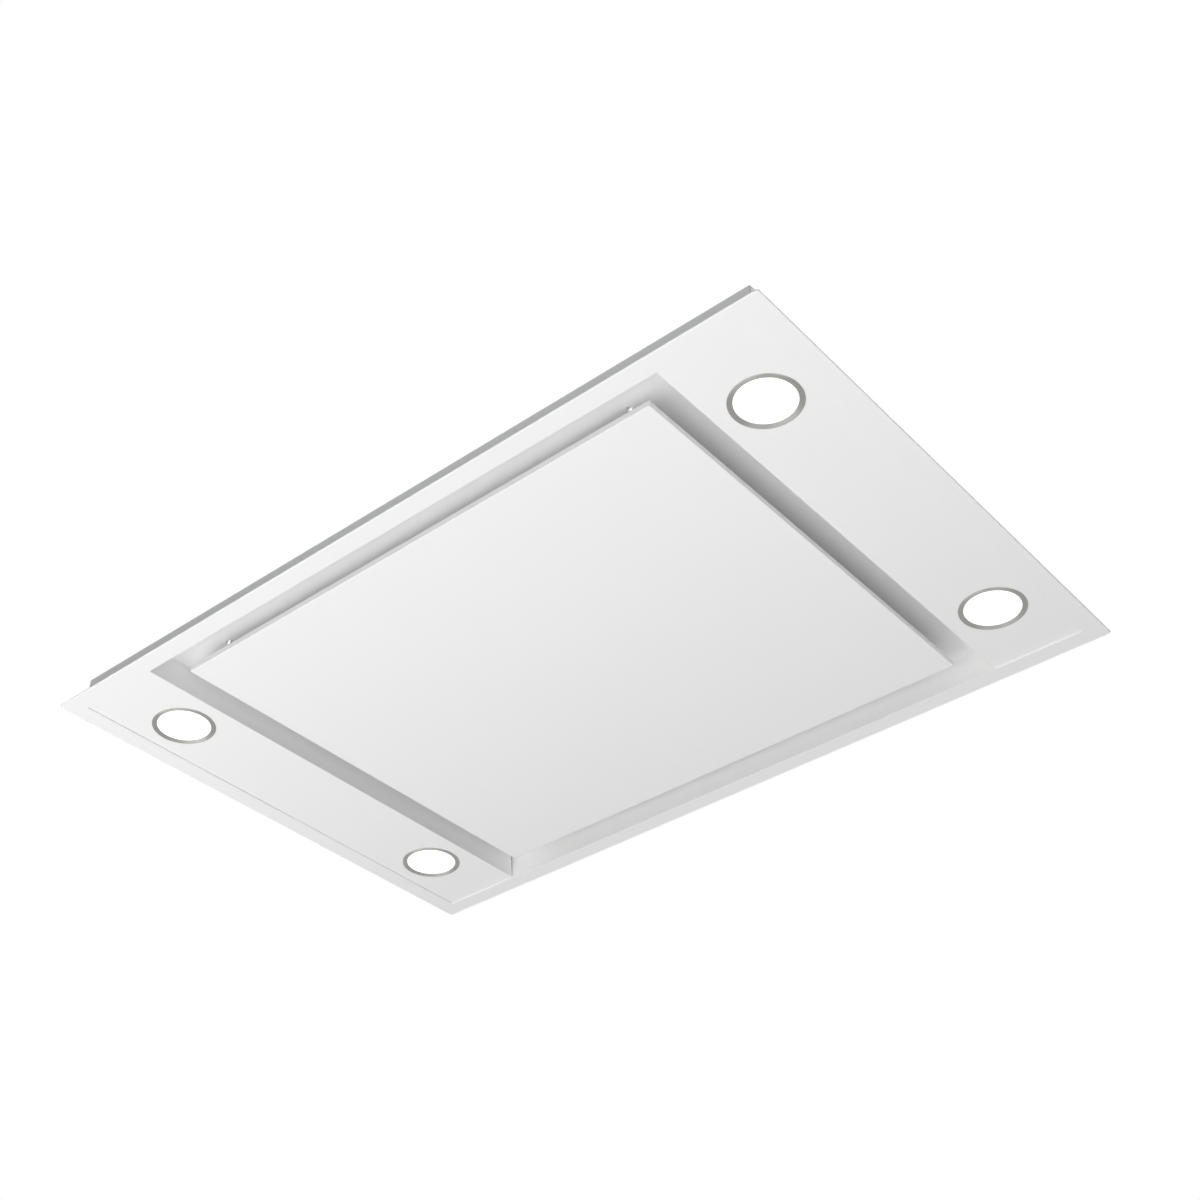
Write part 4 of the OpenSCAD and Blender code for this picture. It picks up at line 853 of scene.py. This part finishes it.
base_near, base_far, base_hole, base_soft = 150, 153, 74.0, 0.6
spigot, spigot_bore, stop_radius, stop_bevel, socket_radius = 75, 73, 69.5, 0.2, 77.4
spigot_near, stop_near, stop_far, bead_y, rim_y = 150.1, 160.2, 163.2, 208, 214
bead_radius, bead_half, rim_radius, fillet = 0.9, 1.5, 1, 2.5
spigot_profile = np.concatenate([
    [[spigot_bore, spigot_near], [spigot_bore, stop_near], [stop_radius + stop_bevel, stop_near],
     [stop_radius, stop_near + stop_bevel], [stop_radius, stop_far - stop_bevel],
     [stop_radius + stop_bevel, stop_far], [spigot_bore, stop_far], [spigot_bore, rim_y]],
    arc((spigot - rim_radius, rim_y), rim_radius, 180, 0, 6), [[spigot, bead_y + bead_half]],
    arc((spigot, bead_y), bead_radius, 90, -90, 6), [[spigot, bead_y - bead_half]],
    [[spigot, base_far + fillet]], arc((spigot + fillet, base_far + fillet), fillet, 180, 270),
    [[socket_radius, spigot_near]]])
piece("outlet_collar_moulded", joined([
    grid(collar_base(base_x, base_z, base_hole, base_near, base_far, base_soft), wrap_rows=True),
    revolved(spigot_profile, (0, 0, duct_z), sides=144, axis=Y, closed=True)]),
    black_plastic, "casing", ["outlet_collar"])


# Non-return flaps: two thin grey mouldings with knuckles that hang on one steel pin across the
# collar. The blower's air pushes them open, and their weight and light springs close them.
for side in ("left", "right"):
    softened(f"flap_{side}_moulded", f"flap_{side}", grey_plastic, edge=0.25)
flap_pin = rod(*box("flap_pin")[:, Z], radius=2, bevel=0.4)
flap_y = box("flap_pin").mean(0)[Y]
piece("flap_pin_turned", revolved(flap_pin, (0, flap_y, 0), sides=24), zinc_steel, "casing",
      ["flap_pin"])


# Control box: a folded tray of galvanised sheet with a lipped lid, beside the motor housing. It
# holds the circuit board and the white terminal block where the mains is joined.
board_green = coat("circuit_board", (0.01, 0.09, 0.035), (0.015, 0.13, 0.05), (0.3, 0.42),
                   fine_grain, Scale=900.0, Blotch=50.0, bump=0.000006)
softened("control_tray", "control_box", galvanised, edge=0.3)
lid_low, lid_high = np.abs(box("control_lid")[:, X])
lid_y, lid_top = box("control_lid")[1, 1:]
lid_folds = [(Y, lid_y, Z, lid_top, 1.2)]
for x in (lid_high, lid_low):
    lid_folds += [(X, x, Z, lid_top, 1.2), (X, x, Y, lid_y, 1.0)]
softened("control_box_lid", "control_lid", galvanised, edge=0.3,
         folds=lid_folds, steps=3)
softened("control_circuit", "control_board", board_green, edge=0.25)
softened("mains_terminals", "terminal_block", white_plastic, edge=0.4)


# Cable gland: black moulded nylon, screwed through the control box's far wall with a nut inside.
# A hexagon tightens against the wall, and a ribbed cap closes on the mains cord.
gland_x, gland_z = box("cable_gland").mean(0)[[X, Z]]


def gland_rows(rows, sides=72):
    """Surface round the gland's axis: each row is (radius, Y, hexagon's share, ribs' height). A
    hexagon's radius is r cos 30 / cos of the angle from its flat, and ribs add the height times
    a cosine of 24 times the angle."""
    turn = np.linspace(0, 2 * np.pi, sides, endpoint=False)
    r, y, six, ribs = np.asarray(rows, float).T[:, :, None]
    from_flat = np.mod(turn, np.pi / 3) - np.pi / 6
    hexagon = np.cos(np.pi / 6) / np.cos(from_flat)
    radius = r * (1 - six + six * hexagon) + ribs * np.cos(24 * turn)
    return np.stack([radius * np.cos(turn) + gland_x, y + 0 * turn,
                     radius * np.sin(turn) + gland_z], -1)


gland_nut = [(4.5, 96, 0, 0), (11.8, 96, 0.6, 0), (12.5, 96.4, 1, 0), (12.5, 98.6, 1, 0),
             (11.8, 99, 0.6, 0), (8, 99, 0, 0)]
gland_hexagon = [(8, 100, 0, 0), (11.6, 100, 0.5, 0), (12.5, 100.6, 1, 0), (12.5, 105.4, 1, 0),
                 (11.6, 106, 0.5, 0), (10.4, 106, 0, 0)]
gland_cap = [(10.4, 107, 0, 0), (10.2, 107.6, 0, 0.25), (9.4, 112, 0, 0.25),
             (8.9, 114.6, 0, 0.25), (8.7, 115.4, 0, 0), (8.4, 117.6, 0, 0), (7.9, 119, 0, 0),
             (7.0, 119.8, 0, 0), (6.0, 120, 0, 0), (4.9, 119.8, 0, 0), (4.5, 119.2, 0, 0)]
gland = grid(gland_rows(gland_nut + gland_hexagon + gland_cap), wrap_rows=True)
piece("cable_gland_moulded", gland, black_plastic, "casing", ["cable_gland"],
      sharp=35)


# Lamp driver: a flat white moulded case with a cap over each end's terminals, and two ears that
# are screwed to the casing.
softened("led_driver_case", "led_driver", white_plastic, edge=0.6, steps=3)


# Hanger brackets: galvanised steel strip, 2 mm thick, folded in a Z. The foot is welded to the
# casing, and threaded rods from the ceiling joists hold the ear.
hanger_low, hanger_top = box("hanger_bracket_4")[:, Z]
web_inside, web_outside, strip = 378, 380, 2
hanger_folds = [(X, web_outside, Z, hanger_low, 2.2), (X, web_inside, Z, hanger_low + strip, 0.6),
                (X, web_inside, Z, hanger_top, 2.2), (X, web_outside, Z, hanger_top - strip, 0.6)]
for number in range(1, 5):
    softened(f"hanger_{number}_folded", f"hanger_bracket_{number}", galvanised,
             edge=0.35, folds=hanger_folds, steps=3)


# Screws: zinc-plated, with a low domed head and a cross recess. They hold the housing to the
# casing, the scroll's posts to the housing, and the duct collar.
def screws_at(places, order):
    """Screws at these places, as one grid round each axis: the recess's rim is the least of 1.9
    and 0.42 over the smaller of |sin| and |cos|, and the dome's height is 0.4 plus 1.6 times the
    root of 1 - (r / 3.62) squared. The order of the axes lays the screw's own axis in space."""
    recess_radius, recess_half, recess_floor, edge, rise, spread = 1.9, 0.42, 0.8, 0.4, 1.6, 3.62
    shank_end, tip = -7.2, -8.0
    turn = np.linspace(0, 2 * np.pi, 48, endpoint=False)
    least = np.maximum(np.minimum(np.abs(np.sin(turn)), np.abs(np.cos(turn))), 1e-6)
    cross = np.minimum(recess_radius, recess_half / least)
    circles = [0 * turn + v for v in (2.3, 2.9, 3.3, 3.6, 3.6, 2.0, 2.0, 1.3, 0.0)]
    r = np.stack([0 * turn, 0.55 * cross, cross] + circles)
    z = edge + rise * np.sqrt(np.clip(1 - (r / spread) ** 2, 0, 1))
    z[:2] = recess_floor
    z[7:] = np.array([0.0, 0.0, shank_end, tip, tip])[:, None]
    one = np.stack([r * np.cos(turn), r * np.sin(turn), z], -1)[..., order]
    return joined([grid(one + place) for place in np.asarray(places, float)])


flange_x, flange_z, post_reach, collar_x, collar_z = 338, 36, 59.4, 76, 66
flange_screws = [(x, y, flange_z) for x in (-flange_x, flange_x)
                 for y in (-120, -40.5, 40.5, 120)]
post_screws = [(fan_x + x, fan_y + y, housing_top)
               for x in (-post_reach, post_reach) for y in (-post_reach, post_reach)]
collar_screws = [(x, base_far, duct_z + z)
                 for x in (-collar_x, collar_x) for z in (-collar_z, collar_z)]
piece("screws_domed", joined([screws_at(flange_screws + post_screws, [0, 1, 2]),
                              screws_at(collar_screws, [1, 2, 0])]),
      zinc_steel, "casing", ["screws"])


# Leads: white two-core leads from the control box and the driver to the lamps and the motor,
# tied down along the casing. Black rubber grommets line the holes where they go through it.
lead_jacket = coat("lead_jacket", (0.74, 0.74, 0.72), (0.8, 0.8, 0.78), (0.4, 0.5), fine_grain,
                   Scale=1500.0, Blotch=60.0, bump=0.000006)


def lead(corners, normal, radius=2.45, bend=12.0):
    """Round lead along a flat route with round bends: each point of the route, plus the radius
    times the plane's normal cos w and its cross product with the route's direction sin w."""
    route = filleted(corners, bend, steps=8, closed=False)
    along = np.gradient(route, axis=0)
    along /= np.linalg.norm(along, axis=1)[:, None]
    beside = np.cross(along, normal)
    w = np.linspace(0, 2 * np.pi, 14, endpoint=False)[:, None]
    ring = np.cos(w) * np.asarray(normal, float) + np.sin(w) * beside[:, None]
    return tubes((route[:, None] + radius * ring)[None])


control_end, driver_end, hole_y, run_z, sink_z, sink_y = 100, 75, 122, 49.5, 11.5, 160.2
lamp_runs = [
    lead([(x, way * end, run_z), (x, way * hole_y, run_z), (x, way * hole_y, sink_z),
          (x, way * sink_y, sink_z)], (1, 0, 0))
    for x, end in ((-lamp_x, control_end), (lamp_x, driver_end)) for way in (-1, 1)]
piece("lamp_leads_white", joined(lamp_runs), lead_jacket, "casing",
      ["lamp_leads"])
driver_run = [(-388.5, -100, 37.7), (-388.5, -164, 37.7), (404.5, -164, 37.7), (404.5, -75, 37.7)]
motor_run = [(-352.5, 26, 52.7), (-297.5, 26, 52.7), (-297.5, 26, 170), (-188, 26, 170)]
piece("power_leads_white", joined([lead(driver_run, (0, 0, 1)), lead(motor_run, (0, 1, 0))]),
      lead_jacket, "casing", ["power_leads"])
bore, waist, rim, low, high = 2.5, 2.95, 4.3, 32.4, 36.0
casing_top = box("lower_casing")[1, Z]
grommet_loop = filleted(
    [[bore, low], [rim, low], [rim, ceiling_z], [waist, ceiling_z], [waist, casing_top],
     [rim, casing_top], [rim, high], [bore, high]], [0.2, 0.4, 0, 0, 0, 0, 0.4, 0.2])
piece("lead_grommets", joined([
    revolved(grommet_loop, (x, y, 0), sides=28, closed=True)
    for x in (-lamp_x, lamp_x) for y in (-hole_y, hole_y)]), rubber, "casing")

low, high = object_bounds()
